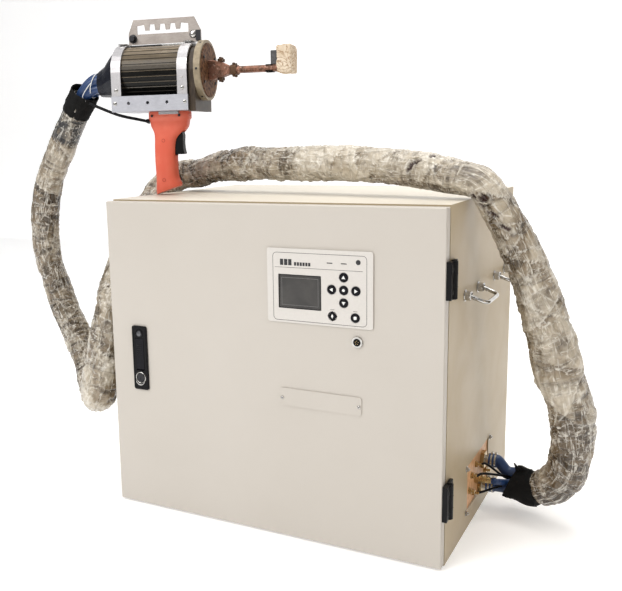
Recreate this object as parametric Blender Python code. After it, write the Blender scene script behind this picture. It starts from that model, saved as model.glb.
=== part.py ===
"""Handheld induction heating machine: floor cabinet, hose bundle and transformer gun.

Metres, +Z up. The door faces -Y, +X is to the right of someone facing the door, and the
origin is the centre of the cabinet's underside. Gun pieces are built in the gun's own frame:
a along the nose, b across it, c up from the cabinet top.
"""
from math import cos, pi, radians, sin

import bmesh
import bpy
from mathutils import Matrix, Vector

# ---- driving sizes ---------------------------------------------------------------------
WIDTH, DEPTH, HEIGHT = 0.650, 0.500, 0.600
HALF_W, HALF_D = WIDTH / 2, DEPTH / 2
SHEET = 0.0025                  # cabinet sheet metal
GAP = 0.0003                    # running gap between touching faces
DOOR_THICK = 0.020
DOOR_FRONT = -HALF_D
DOOR_BACK = DOOR_FRONT + DOOR_THICK
DOOR_LOW, DOOR_TOP = 0.004, 0.5975
SHELL_FRONT = DOOR_BACK + 0.003
SHELL_BACK = HALF_D - 0.0025
FLANGE = 0.022                  # return flange around the front and back openings

HINGE_X, HINGE_Y = HALF_W + 0.007, DOOR_BACK + 0.0015
HINGE_LEN, KNUCKLE_R = 0.060, 0.0062
HINGE_HEIGHTS = {"upper": 0.484, "lower": 0.117}

HMI_X, HMI_Z = (0.0172, 0.2083), (0.3975, 0.525)
HMI_PROUD = 0.003
HMI_EDGE = 0.0085               # from the panel's edge in to the housing behind it
KEY_R, KEY_TRAVEL = 0.0077, 0.0012
KEY_X, KEY_Z, KEY_STEP = 0.1576, 0.4597, 0.0213
SCREEN_X, SCREEN_Z = (0.0395, 0.1163), (0.4234, 0.4798)
SOCKET_X, SOCKET_Z = 0.1806, 0.3743
BLANK_X, BLANK_Z = (0.037, 0.188), (0.2480, 0.2800)

LOCK_X, LOCK_LOW, LOCK_TOP, LOCK_WIDE = -0.2600, 0.2385, 0.3630, 0.033
LOCK_REAR = SHELL_FRONT + SHEET + 0.003     # the cam turns just behind the shell's flange
HANDLE_PITCH, HANDLE_REACH, HANDLE_ROD_R = 0.090, 0.031, 0.0034
HANDLE_Z, HANDLE_PIVOT_X, HANDLE_SAG = 0.441, HALF_W + 0.0075, radians(20)
HANDLE_CENTRES = {"front": -0.085, "rear": 0.135}

WINDOW_HALF_Y, WINDOW_Z = 0.082, (0.034, 0.120)     # connector cut-out in the right side

HOSE_R = 0.029
SLEEVE_R = 0.026
CABLE_R = 0.0105

GUN_PLACE = Vector((-0.2854, -0.0850, HEIGHT))
GUN_YAW = radians(13)
AXIS_C = 0.241                  # barrel axis above the cabinet top
BARREL_R = 0.051
RAIL_A = (-0.098, 0.061)
RAIL_C = (0.165, 0.195)
RAIL_IN, RAIL_OUT = 0.0513, 0.0553
STRAP_WIDE = 0.020
TRIGGER_A, TRIGGER_C = 0.024, 0.1215


# ---- materials -------------------------------------------------------------------------
def material(name, colour, rough, metal=0.0):
    made = bpy.data.materials.new(name)
    made.use_nodes = True
    shader = made.node_tree.nodes["Principled BSDF"]
    shader.inputs["Base Color"].default_value = (*colour, 1)
    shader.inputs["Roughness"].default_value = rough
    shader.inputs["Metallic"].default_value = metal
    return made


def start():
    for old in list(bpy.data.objects):
        bpy.data.objects.remove(old)


start()
BEIGE = material("beige_powder_coat", (0.66, 0.60, 0.50), 0.45)
GREY_SHEET = material("galvanised_sheet", (0.55, 0.56, 0.57), 0.45, 0.8)
BLACK_PLASTIC = material("black_plastic", (0.015, 0.015, 0.017), 0.35)
BLACK_GLOSS = material("black_gloss", (0.012, 0.012, 0.013), 0.15)
WHITE_PANEL = material("white_keypad", (0.80, 0.80, 0.80), 0.40)
SCREEN_GREY = material("screen_glass", (0.10, 0.10, 0.10), 0.12)
CHROME = material("chrome", (0.75, 0.75, 0.76), 0.12, 1.0)
ALUMINIUM = material("aluminium", (0.70, 0.71, 0.74), 0.35, 1.0)
BRASS = material("cream_brass", (0.62, 0.52, 0.34), 0.40, 0.7)
COPPER = material("copper", (0.55, 0.27, 0.18), 0.35, 1.0)
PHENOLIC = material("phenolic_board", (0.42, 0.20, 0.07), 0.35)
BROWN_DISC = material("brown_phenolic", (0.14, 0.07, 0.03), 0.50)
RED_GRIP = material("red_grip", (0.72, 0.11, 0.05), 0.40)
CERAMIC = material("fused_ceramic", (0.80, 0.70, 0.55), 0.90)
FERRITE = material("ferrite", (0.10, 0.10, 0.11), 0.60)
BLUE_HOSE = material("blue_water_cable", (0.05, 0.12, 0.28), 0.35)
BLACK_CLOTH = material("black_sleeve", (0.012, 0.012, 0.012), 0.85)
FILM = material("film_wrapped_hose", (0.42, 0.37, 0.30), 0.35)
GREEN_BOARD = material("circuit_board", (0.03, 0.20, 0.08), 0.45)
CAN_BLUE = material("capacitor_case", (0.10, 0.20, 0.34), 0.40)


# ---- building blocks -------------------------------------------------------------------
def add(name, mesh, mat, frame=None):
    thing = bpy.data.objects.new(name, mesh)
    bpy.context.scene.collection.objects.link(thing)
    mesh.materials.append(mat)
    if frame is not None:
        thing.parent = frame
    return thing


def mesh_of(name, bm):
    bmesh.ops.recalc_face_normals(bm, faces=bm.faces)
    mesh = bpy.data.meshes.new(name)
    bm.to_mesh(mesh)
    bm.free()
    return mesh


def box(name, low, high, mat, frame=None, bevel=0.0, segments=1):
    """A box between two corners, its edges rounded by bevel."""
    bm = bmesh.new()
    bmesh.ops.create_cube(bm, size=1)
    for v in bm.verts:
        v.co = Vector([low[i] if v.co[i] < 0 else high[i] for i in range(3)])
    if bevel:
        bmesh.ops.bevel(bm, geom=list(bm.edges), offset=bevel, segments=segments,
                        affect='EDGES', profile=0.5)
    return add(name, mesh_of(name, bm), mat, frame)


def place(axis, u, v, w):
    """A point from two coordinates across an axis and one along it."""
    return Vector({"X": (w, u, v), "Y": (u, w, v), "Z": (u, v, w)}[axis])


def prism(name, outline, axis, span, mat, frame=None, bevel=0.0):
    """An outline across an axis, pushed along it from span[0] to span[1]."""
    bm = bmesh.new()
    face = bm.faces.new([bm.verts.new(place(axis, u, v, span[0])) for u, v in outline])
    grown = bmesh.ops.extrude_face_region(bm, geom=[face])
    move = place(axis, 0, 0, span[1] - span[0])
    bmesh.ops.translate(bm, vec=move,
                        verts=[g for g in grown["geom"] if isinstance(g, bmesh.types.BMVert)])
    if bevel:
        bmesh.ops.bevel(bm, geom=list(bm.edges), offset=bevel, segments=1, affect='EDGES')
    return add(name, mesh_of(name, bm), mat, frame)


def turned(name, profile, axis, centre, mat, sides=32, frame=None):
    """A closed solid turned about an axis, from (radius, place along the axis) points.

    A profile that starts and ends on the axis is closed by its poles; any other profile
    is a closed loop and makes a ring.
    """
    bm = bmesh.new()
    solid = profile[0][0] == 0
    loops = []
    for radius, along in profile:
        if radius == 0:
            loops.append([bm.verts.new(place(axis, *centre, along))])
            continue
        loops.append([bm.verts.new(place(axis, centre[0] + radius * cos(2 * pi * k / sides),
                                         centre[1] + radius * sin(2 * pi * k / sides), along))
                      for k in range(sides)])
    pairs = list(zip(loops, loops[1:]))
    if not solid:
        pairs.append((loops[-1], loops[0]))
    for one, two in pairs:
        for k in range(sides):
            n = (k + 1) % sides
            if len(one) == 1:
                bm.faces.new((one[0], two[n], two[k]))
            elif len(two) == 1:
                bm.faces.new((one[k], one[n], two[0]))
            else:
                bm.faces.new((one[k], one[n], two[n], two[k]))
    thing = add(name, mesh_of(name, bm), mat, frame)
    thing.data.shade_smooth()
    thing.data.set_sharp_from_angle(angle=radians(40))
    return thing


def rod(name, centre, axis, radius, span, mat, sides=24, frame=None):
    """A plain cylinder; centre holds its two coordinates across the axis."""
    profile = [(0, span[0]), (radius, span[0]), (radius, span[1]), (0, span[1])]
    return turned(name, profile, axis, centre, mat, sides, frame)


def lofted(name, rings, mat, frame=None):
    """A solid through rings of equally many points, its ends closed flat."""
    bm = bmesh.new()
    loops = [[bm.verts.new(p) for p in ring] for ring in rings]
    count = len(rings[0])
    for one, two in zip(loops, loops[1:]):
        for k in range(count):
            n = (k + 1) % count
            bm.faces.new((one[k], one[n], two[n], two[k]))
    bm.faces.new(loops[0])
    bm.faces.new(loops[-1])
    thing = add(name, mesh_of(name, bm), mat, frame)
    thing.data.shade_smooth()
    thing.data.set_sharp_from_angle(angle=radians(40))
    return thing


def combine(thing, tool, how):
    """Cut, join or trim a piece by a hidden helper solid."""
    modifier = thing.modifiers.new(how.lower(), 'BOOLEAN')
    modifier.operation = how
    modifier.solver = 'EXACT'
    modifier.object = tool
    tool.hide_render = True
    tool.display_type = 'WIRE'
    return thing


def cut(thing, tool):
    return combine(thing, tool, 'DIFFERENCE')


def join(thing, tool):
    return combine(thing, tool, 'UNION')


def smooth_route(corners, per_leg):
    """Points on a Catmull-Rom curve through the given corners."""
    pts = [Vector(p) for p in corners]
    ends = [2 * pts[0] - pts[1], *pts, 2 * pts[-1] - pts[-2]]
    route = []
    for k in range(1, len(ends) - 2):
        a, b, c, d = ends[k - 1:k + 3]
        for step in range(per_leg):
            t = step / per_leg
            route.append(0.5 * (2 * b + (c - a) * t + (2 * a - 5 * b + 4 * c - d) * t * t
                                + (3 * b - a - 3 * c + d) * t ** 3))
    route.append(pts[-1])
    return route


def tube(name, points, radius, mat, frame=None, resolution=2):
    """A round bar along a route, its ends capped."""
    curve = bpy.data.curves.new(name, 'CURVE')
    curve.dimensions = '3D'
    curve.bevel_depth = radius
    curve.bevel_resolution = resolution
    curve.use_fill_caps = True
    spline = curve.splines.new('POLY')
    spline.points.add(len(points) - 1)
    for point, where in zip(spline.points, points):
        point.co = (*where, 1)
    thing = bpy.data.objects.new(name, curve)
    bpy.context.scene.collection.objects.link(thing)
    curve.materials.append(mat)
    if frame is not None:
        thing.parent = frame
    return thing


def pivot(name, where, frame=None):
    """An empty on a joint's axis; pieces under it are given in its own frame."""
    empty = bpy.data.objects.new(name, None)
    bpy.context.scene.collection.objects.link(empty)
    empty.location = where
    if frame is not None:
        empty.parent = frame
    return empty


def round_corners(x_span, z_span, radius, steps=4):
    """A rectangle outline with rounded corners."""
    outline = []
    for cx, cz, first in ((x_span[1] - radius, z_span[1] - radius, 0),
                          (x_span[0] + radius, z_span[1] - radius, 90),
                          (x_span[0] + radius, z_span[0] + radius, 180),
                          (x_span[1] - radius, z_span[0] + radius, 270)):
        for k in range(steps + 1):
            turn = radians(first + 90 * k / steps)
            outline.append((cx + radius * cos(turn), cz + radius * sin(turn)))
    return outline


# ---- cabinet ---------------------------------------------------------------------------
def cabinet():
    shell = box("cabinet_shell", (-HALF_W, SHELL_FRONT, 0), (HALF_W, SHELL_BACK, HEIGHT), BEIGE)
    inside = box("shell_inside", (-HALF_W + SHEET, SHELL_FRONT + SHEET, SHEET),
                 (HALF_W - SHEET, SHELL_BACK - SHEET, HEIGHT - SHEET), BEIGE)
    through = box("shell_through", (-HALF_W + FLANGE, -1, FLANGE),
                  (HALF_W - FLANGE, 1, HEIGHT - FLANGE), BEIGE)
    window = box("shell_window", (HALF_W - 0.010, -WINDOW_HALF_Y, WINDOW_Z[0]),
                 (HALF_W + 0.010, WINDOW_HALF_Y, WINDOW_Z[1]), BEIGE)
    for tool in (inside, through, window):
        cut(shell, tool)
    box("back_cover", (-HALF_W + 0.004, SHELL_BACK + GAP, 0.006),
        (HALF_W - 0.004, HALF_D, HEIGHT - 0.006), GREY_SHEET)
    box("connector_plate", (HALF_W - SHEET - GAP - 0.006, -0.098, 0.023),
        (HALF_W - SHEET - GAP, 0.098, 0.131), PHENOLIC)


def cabinet_inside():
    """Power electronics on a mounting plate near the back."""
    box("mounting_plate", (-0.290, 0.205, 0.040), (0.290, 0.208, 0.560), GREY_SHEET)
    sink_low, sink_high, fin, slot = (-0.270, 0.100, 0.330), (-0.030, 0.2047, 0.530), 0.010, 0.014
    outline = [(sink_low[0], sink_high[1]), (sink_low[0], sink_low[1])]
    x = sink_low[0]
    while x + fin + slot + fin <= sink_high[0] + 1e-6:
        outline += [(x + fin, sink_low[1]), (x + fin, sink_high[1] - 0.035),
                    (x + fin + slot, sink_high[1] - 0.035), (x + fin + slot, sink_low[1])]
        x += fin + slot
    outline += [(sink_high[0], sink_low[1]), (sink_high[0], sink_high[1])]
    prism("inverter_heat_sink", outline, "Z", (sink_low[2], sink_high[2]), ALUMINIUM)

    bank = box("capacitor_bank", (-0.270, 0.195, 0.070), (-0.030, 0.2047, 0.280), GREY_SHEET)
    for k, x in enumerate((-0.210, -0.090)):
        for m, z in enumerate((0.125, 0.225)):
            join(bank, rod(f"can_{k}{m}", (x, z), "Y", 0.038, (0.090, 0.196), CAN_BLUE, 20))

    core = box("output_transformer", (0.060, 0.040, SHEET + GAP), (0.230, 0.180, 0.150), FERRITE)
    join(core, box("winding", (0.090, 0.015, 0.030), (0.200, 0.200, 0.122), COPPER,
                   bevel=0.012, segments=2))
    box("control_board", (0.030, 0.190, 0.330), (0.270, 0.194, 0.530), GREEN_BOARD)


def connector_fittings():
    """Two power fittings and a water coupling, standing out through the cut-out."""
    face = HALF_W - SHEET
    for name, y, z in (("power_fitting_upper", 0.040, 0.090), ("power_fitting_lower", 0.022, 0.048)):
        profile = [(0, face), (0.014, face), (0.014, face + 0.006), (0.009, face + 0.006),
                   (0.009, face + 0.012), (0.0125, face + 0.012), (0.0125, face + 0.026),
                   (0, face + 0.026)]
        turned(name, profile, "X", (y, z), CHROME, 18)
    profile = [(0, face), (0.009, face), (0.009, face + 0.008), (0.006, face + 0.008),
               (0.006, face + 0.030), (0, face + 0.030)]
    turned("water_coupling", profile, "X", (-0.010, 0.070), BRASS, 16)


# ---- door ------------------------------------------------------------------------------
def door():
    panel = box("door_panel", (-HALF_W, DOOR_FRONT, DOOR_LOW), (HALF_W, DOOR_BACK, DOOR_TOP),
                BEIGE, bevel=0.0012)
    rim = 0.014
    cut(panel, box("door_hollow", (-HALF_W + rim, DOOR_FRONT + SHEET, DOOR_LOW + rim),
                   (HALF_W - rim, 0, DOOR_TOP - rim), BEIGE))
    through = (DOOR_FRONT - 0.01, 0.0)
    edge = HMI_EDGE - 0.002
    cut(panel, box("hmi_hole", (HMI_X[0] + edge, through[0], HMI_Z[0] + edge),
                   (HMI_X[1] - edge, through[1], HMI_Z[1] - edge), BEIGE))
    cut(panel, box("lock_hole", (LOCK_X - 0.0126, through[0], LOCK_LOW + 0.0045),
                   (LOCK_X + 0.0126, through[1], LOCK_TOP - 0.0045), BEIGE))
    cut(panel, rod("socket_hole", (SOCKET_X, SOCKET_Z), "Y", 0.0084, through, BEIGE, 20))
    prism("blank_plate", round_corners(BLANK_X, BLANK_Z, 0.005), "Y",
          (DOOR_FRONT - GAP - 0.0015, DOOR_FRONT - GAP), BEIGE)


def hinges():
    """External hinges on the right edge: a body leaf, and a door leaf with the knuckle."""
    half = HINGE_LEN / 2
    leaf_x = (HALF_W + GAP, HALF_W + 0.0082)
    body_leaf_y = (HINGE_Y + KNUCKLE_R + 0.0006, HINGE_Y + KNUCKLE_R + 0.0176)
    for name, z in HINGE_HEIGHTS.items():
        knuckle = rod(f"hinge_knuckle_{name}", (HINGE_X, HINGE_Y), "Z", KNUCKLE_R,
                      (z - half, z + half), BLACK_PLASTIC, 16)
        join(knuckle, box(f"door_leaf_{name}", (leaf_x[0], DOOR_FRONT + 0.0015, z - half),
                          (leaf_x[1], HINGE_Y, z + half), BLACK_PLASTIC))
        box(f"hinge_leaf_{name}", (leaf_x[0], body_leaf_y[0], z - half),
            (leaf_x[1] - 0.0018, body_leaf_y[1], z + half), BLACK_PLASTIC, bevel=0.001)


def hmi():
    """Keypad panel with its housing behind the door, a screen and seven keys."""
    face = DOOR_FRONT - HMI_PROUD
    panel = prism("hmi_panel", round_corners(HMI_X, HMI_Z, 0.004), "Y",
                  (face, DOOR_FRONT - GAP), WHITE_PANEL)
    join(panel, box("hmi_housing", (HMI_X[0] + HMI_EDGE, face + 0.001, HMI_Z[0] + HMI_EDGE),
                    (HMI_X[1] - HMI_EDGE, -0.232, HMI_Z[1] - HMI_EDGE), WHITE_PANEL))
    cut(panel, box("screen_recess", (SCREEN_X[0] - GAP, face - 0.01, SCREEN_Z[0] - GAP),
                   (SCREEN_X[1] + GAP, face + 0.004, SCREEN_Z[1] + GAP), WHITE_PANEL))
    box("hmi_screen", (SCREEN_X[0], face + 0.0008, SCREEN_Z[0]),
        (SCREEN_X[1], face + 0.004 - GAP, SCREEN_Z[1]), SCREEN_GREY)
    for name, (x, z) in key_places().items():
        cut(panel, rod(f"well_{name}", (x, z), "Y", KEY_R + 0.0005, (face - 0.01, face + 0.006),
                       WHITE_PANEL, 20))
        axis = pivot(f"axis_{name}", (x, face, z))
        profile = [(0, -0.0010), (KEY_R - 0.0012, -0.0010), (KEY_R, -0.0002), (KEY_R, 0.0035),
                   (0, 0.0035)]
        turned(name, profile, "Y", (0, 0), BLACK_GLOSS, 20, axis)


def key_places():
    x, z, step = KEY_X, KEY_Z, KEY_STEP
    return {"key_up": (x, z + step), "key_left": (x - step, z), "key_enter": (x, z),
            "key_right": (x + step, z), "key_down": (x, z - step),
            "key_start": (x - 0.0202, z - 0.0447), "key_stop": (x + 0.0202, z - 0.0447)}


def panel_socket():
    face = DOOR_FRONT
    profile = [(0, face - 0.0028), (0.0062, face - 0.0028), (0.0062, face - 0.0034),
               (0.0092, face - 0.0034), (0.0096, face - 0.0026), (0.0096, face - GAP),
               (0.0080, face - GAP), (0.0080, face + 0.016), (0, face + 0.016)]
    turned("panel_socket", profile, "Y", (SOCKET_X, SOCKET_Z), CHROME, 24)


def lock():
    """Flush lock: housing, pull lever, push button, key cylinder and the cam behind."""
    front, half = DOOR_FRONT - 0.0035, LOCK_WIDE / 2
    housing = prism("lock_housing",
                    round_corners((LOCK_X - half, LOCK_X + half), (LOCK_LOW, LOCK_TOP), 0.004),
                    "Y", (front, DOOR_FRONT - GAP), BLACK_PLASTIC)
    join(housing, box("lock_body", (LOCK_X - 0.012, front + 0.001, LOCK_LOW + 0.0052),
                      (LOCK_X + 0.012, LOCK_REAR, LOCK_TOP - 0.0052), BLACK_PLASTIC))
    button_z, cylinder_z = LOCK_TOP - 0.0145, LOCK_LOW + 0.0235
    lever_low, lever_top = cylinder_z + 0.0150, button_z - 0.0100
    cut(housing, box("lever_well", (LOCK_X - 0.0092, front - 0.01, lever_low - 0.001),
                     (LOCK_X + 0.0092, front + 0.0098, lever_top + 0.001), BLACK_PLASTIC))
    for name, z, radius in (("button_well", button_z, 0.0071), ("cylinder_well", cylinder_z, 0.0095)):
        cut(housing, rod(name, (LOCK_X, z), "Y", radius, (front - 0.01, front + 0.0098),
                         BLACK_PLASTIC, 20))
    hinge_at = pivot("axis_lock_lever", (LOCK_X, front + 0.0040, lever_low + 0.0040))
    tall = lever_top - lever_low - 0.0040
    outline = [(-0.0030, -0.0036), (-0.0044, -0.0022), (-0.0044, tall - 0.003),
               (-0.0030, tall), (0.0020, tall), (0.0020, 0.0010), (0.0034, 0.0),
               (0.0030, -0.0030)]
    prism("lock_lever", outline, "X", (-0.0088, 0.0088), BLACK_GLOSS, hinge_at)

    button = pivot("axis_lock_button", (LOCK_X, front, button_z))
    profile = [(0, -0.0012), (0.0058, -0.0012), (0.0066, -0.0004), (0.0066, 0.0062), (0, 0.0062)]
    turned("lock_button", profile, "Y", (0, 0), ALUMINIUM, 20, button)

    cylinder = pivot("axis_lock_cylinder", (LOCK_X, front, cylinder_z))
    profile = [(0, -0.0018), (0.0080, -0.0018), (0.0090, -0.0008), (0.0090, 0.0090), (0, 0.0090)]
    plug = turned("lock_cylinder", profile, "Y", (0, 0), CHROME, 24, cylinder)
    cut(plug, box("key_slot", (-0.0009, -0.01, -0.0042), (0.0009, 0.003, 0.0042), CHROME,
                  frame=cylinder))

    cam = pivot("axis_lock_cam", (LOCK_X, LOCK_REAR + GAP, lever_low + 0.010))
    outline = round_corners((-0.040, 0.010), (-0.009, 0.009), 0.0085)
    prism("lock_cam", outline, "Y", (0.0, 0.0030), GREY_SHEET, cam)


# ---- side handles ----------------------------------------------------------------------
def side_handles():
    """Folding bails in small slotted feet, on the right side; they rest a little below level."""
    for name, middle in HANDLE_CENTRES.items():
        axis = pivot(f"axis_bail_{name}", (HANDLE_PIVOT_X, middle, HANDLE_Z))
        half, bend, reach = HANDLE_PITCH / 2, 0.010, HANDLE_REACH
        corner = [(0, half), (0.010, half), (reach - bend, half)]
        corner += [(reach - bend + bend * sin(radians(t)), half - bend + bend * cos(radians(t)))
                   for t in (22.5, 45, 67.5, 90)]
        route = [Vector((x, y, 0)) for x, y in corner]
        route += [Vector((x, -y, 0)) for x, y in reversed(corner)]
        route = [Vector((p.x * cos(HANDLE_SAG), p.y, -p.x * sin(HANDLE_SAG))) for p in route]
        tube(f"handle_bail_{name}", route, HANDLE_ROD_R, CHROME, axis, 2)
        for side, y in (("a", -half), ("b", half)):
            foot = box(f"handle_foot_{name}_{side}", (HALF_W + GAP, middle + y - 0.0070,
                                                      HANDLE_Z - 0.0070),
                       (HANDLE_PIVOT_X + 0.0042, middle + y + 0.0070, HANDLE_Z + 0.0070), CHROME,
                       bevel=0.0015)
            cut(foot, box(f"bail_slot_{name}_{side}",
                          (HALF_W + 0.0030, middle + y - 0.0043, HANDLE_Z - 0.02),
                          (HANDLE_PIVOT_X + 0.02, middle + y + 0.0043, HANDLE_Z + 0.0045), CHROME))


# ---- gun -------------------------------------------------------------------------------
def gun_frame():
    frame = pivot("gun_frame", GUN_PLACE)
    frame.rotation_euler = (0, 0, GUN_YAW)
    return frame


def arch(radius, foot, steps=16):
    """Half a circle over the barrel axis, from +b to -b, with straight legs to foot."""
    points = [(radius, foot)]
    points += [(radius * cos(pi * k / steps), AXIS_C + radius * sin(pi * k / steps))
               for k in range(steps + 1)]
    return points + [(-radius, foot)]


def gun_barrel(gun):
    """Ribbed sleeve over the transformer."""
    ribs, outer, inner = 30, BARREL_R, BARREL_R - 0.0010
    outline = []
    for k in range(ribs):
        for part, radius in ((0.0, outer), (0.62, outer), (0.70, inner), (0.92, inner)):
            turn = 2 * pi * (k + part) / ribs
            outline.append((radius * cos(turn), AXIS_C + radius * sin(turn)))
    prism("gun_barrel", outline, "X", (-0.096, 0.0605), BLACK_GLOSS, gun)


def gun_boot(gun):
    """Rubber boot from the barrel's rear down to the cables."""
    def ring(a, c, radius):
        return [Vector((a, radius * cos(2 * pi * k / 24), c + radius * sin(2 * pi * k / 24)))
                for k in range(24)]
    rings = [ring(-0.0963, AXIS_C, 0.0495), ring(-0.1030, AXIS_C - 0.001, 0.0475),
             ring(-0.1150, AXIS_C - 0.006, 0.0405), ring(-0.1280, AXIS_C - 0.013, 0.0315),
             ring(-0.1420, AXIS_C - 0.017, 0.0265)]
    lofted("gun_boot", rings, BLACK_PLASTIC, gun)


def gun_cradle(gun):
    """U channel with three holes in each rail, and two saddles under the barrel."""
    low, top = RAIL_C
    outline = [(RAIL_OUT, low), (RAIL_OUT, top), (RAIL_IN, top), (RAIL_IN, low + 0.004),
               (-RAIL_IN, low + 0.004), (-RAIL_IN, top), (-RAIL_OUT, top), (-RAIL_OUT, low)]
    cradle = prism("gun_cradle", outline, "X", RAIL_A, ALUMINIUM, gun)
    for k, (start_a, end_a) in enumerate(((RAIL_A[0], RAIL_A[0] + 0.014),
                                          (RAIL_A[1] - 0.016, RAIL_A[1]))):
        outline = [(RAIL_IN + 0.001, low + 0.002), (RAIL_IN + 0.001, top - 0.004)]
        for turn in range(-40, -141, -10):
            outline.append(((BARREL_R + GAP) * cos(radians(turn)),
                            AXIS_C + (BARREL_R + GAP) * sin(radians(turn))))
        outline = [p for p in outline if p[1] <= top - 0.004 + 1e-6]
        outline += [(-RAIL_IN - 0.001, top - 0.004), (-RAIL_IN - 0.001, low + 0.002)]
        join(cradle, prism(f"saddle_{k}", outline, "X", (start_a, end_a), ALUMINIUM, gun))
    for k, a in enumerate((-0.062, -0.022, 0.018)):
        cut(cradle, rod(f"rail_hole_{k}", (a, 0.181), "Y", 0.0032, (-0.1, 0.1), ALUMINIUM, 12, gun))


def gun_straps(gun):
    """Flat bands over the barrel, standing on the rails."""
    foot = RAIL_C[1] + GAP
    inner, outer = BARREL_R + GAP, BARREL_R + 0.0038
    outline = arch(outer, foot) + list(reversed(arch(inner, foot)))
    for name, start_a in (("rear", RAIL_A[0] + 0.001), ("front", RAIL_A[1] - STRAP_WIDE - 0.001)):
        prism(f"gun_strap_{name}", outline, "X", (start_a, start_a + STRAP_WIDE), ALUMINIUM, gun)


def gun_hanger(gun):
    """Comb plate for hanging the gun: a trapezoid with a toothed window."""
    low, top = AXIS_C + BARREL_R + 0.0045, 0.3440
    outline = [(0.0735, low), (0.0735, 0.318), (0.060, top), (-0.067, top), (-0.078, 0.318),
               (-0.078, low)]
    plate = prism("gun_hanger", outline, "Y", (-0.0015, 0.0015), ALUMINIUM, gun)
    window = [(0.048, 0.316), (0.048, 0.332)]
    pitch = 0.108 / 5
    for k in range(4):
        middle = 0.048 - pitch * (k + 1)
        window += [(middle + 0.0060, 0.334), (middle + 0.0042, 0.3225), (middle - 0.0042, 0.3225),
                   (middle - 0.0060, 0.334)]
    window += [(-0.060, 0.332), (-0.060, 0.316)]
    cut(plate, prism("hanger_window", window, "Y", (-0.01, 0.01), ALUMINIUM, gun))


def gun_front(gun):
    """Phenolic block, clamp ring and front disc."""
    block = [(0.048, 0.163), (0.048, AXIS_C)]
    block += [(0.048 * cos(pi * k / 12), AXIS_C + 0.048 * sin(pi * k / 12)) for k in range(1, 12)]
    block += [(-0.048, AXIS_C), (-0.048, 0.163)]
    prism("gun_front_block", block, "X", (0.0613, 0.0740), BROWN_DISC, gun)
    profile = [(0.0523, 0.0743), (0.0575, 0.0743), (0.0575, 0.0868), (0.0523, 0.0868)]
    turned("gun_clamp_ring", profile, "X", (0, AXIS_C), BRASS, 40, gun)
    profile = [(0, 0.0743), (0.0520, 0.0743), (0.0520, 0.0875), (0.0505, 0.0885), (0, 0.0885)]
    turned("gun_front_disc", profile, "X", (0, AXIS_C), BROWN_DISC, 40, gun)


def gun_terminals(gun):
    """Two copper terminal plates, insulated from each other by a gap."""
    outline = [(0.0888, 0.222), (0.0888, 0.260), (0.1120, 0.257), (0.1330, 0.2465),
               (0.1330, 0.2325), (0.1100, 0.2250)]
    for name, span in (("near", (-0.0100, -0.0010)), ("far", (0.0010, 0.0100))):
        prism(f"gun_terminal_{name}", outline, "Y", span, COPPER, gun, bevel=0.0008)


def gun_inductor(gun):
    """Copper lead pair with its turn inside a cast ceramic block, and a ferrite above."""
    c, half = 0.2395, 0.0055
    outline = [(0.1333, half + 0.0035), (0.2430, half + 0.0035), (0.2470, half),
               (0.2470, -half), (0.2430, -half - 0.0035), (0.1333, -half - 0.0035),
               (0.1333, -half + 0.0035), (0.2395, -half + 0.0035), (0.2395, half - 0.0035),
               (0.1333, half - 0.0035)]
    prism("inductor_leads", outline, "Z", (c - 0.006, c + 0.006), COPPER, gun)
    block = box("ceramic_block", (0.2290, -0.0270, 0.2330 - 0.004), (0.2580, 0.0270, 0.2800),
                CERAMIC, gun, bevel=0.0015)
    cut(block, box("turn_pocket", (0.2200, -0.0096, c - 0.0066), (0.2478, 0.0096, c + 0.0066),
                   CERAMIC, gun))
    box("ferrite_core", (0.2140, -0.0100, c + 0.0068), (0.2286, 0.0100, 0.2720), FERRITE, gun,
        bevel=0.0010)


def gun_grip(gun):
    """Pistol grip standing on its slanted foot, with a pocket for the trigger."""
    stations = [                # rear a, front a, half width, height at the rear, rise to the front
        (-0.0310, 0.0210, 0.0175, 0.0003, 0.0180), (-0.0320, 0.0225, 0.0190, 0.0050, 0.0175),
        (-0.0305, 0.0165, 0.0185, 0.0180, 0.0120), (-0.0305, 0.0140, 0.0180, 0.0400, 0.0040),
        (-0.0315, 0.0140, 0.0185, 0.0700, 0.0), (-0.0310, 0.0150, 0.0185, 0.0950, 0.0),
        (-0.0300, 0.0180, 0.0190, 0.1130, 0.0), (-0.0310, 0.0330, 0.0200, 0.1260, 0.0),
        (-0.0370, 0.0410, 0.0220, 0.1340, 0.0), (-0.0390, 0.0430, 0.0225, 0.1480, 0.0),
        (-0.0410, 0.0460, 0.0250, 0.1510, 0.0), (-0.0410, 0.0460, 0.0250, 0.1620, 0.0),
        (-0.0395, 0.0445, 0.0235, RAIL_C[0] - GAP, 0.0)]
    rings = []
    for rear, front, half, height, rise in stations:
        middle, reach = (rear + front) / 2, (front - rear) / 2
        ring = []
        for k in range(24):
            turn = 2 * pi * k / 24
            u = abs(cos(turn)) ** 0.75 * (1 if cos(turn) >= 0 else -1)
            v = abs(sin(turn)) ** 0.75 * (1 if sin(turn) >= 0 else -1)
            ring.append(Vector((middle + reach * u, half * v, height + rise * (1 + u) / 2)))
        rings.append(ring)
    grip = lofted("gun_grip", rings, RED_GRIP, gun)
    cut(grip, box("trigger_pocket", (-0.004, -0.0088, 0.0780), (0.060, 0.0088, 0.1270),
                  RED_GRIP, gun))


def gun_trigger(gun):
    axis = pivot("axis_trigger", (TRIGGER_A, 0, TRIGGER_C), gun)
    outline = [(-0.0140, 0.0030), (0.0050, 0.0030), (0.0068, -0.0030), (0.0058, -0.0180),
               (0.0066, -0.0300), (0.0088, -0.0400), (0.0064, -0.0410), (-0.0140, -0.0410)]
    prism("gun_trigger", outline, "Y", (-0.0082, 0.0082), BLACK_PLASTIC, axis, bevel=0.0006)


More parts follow.
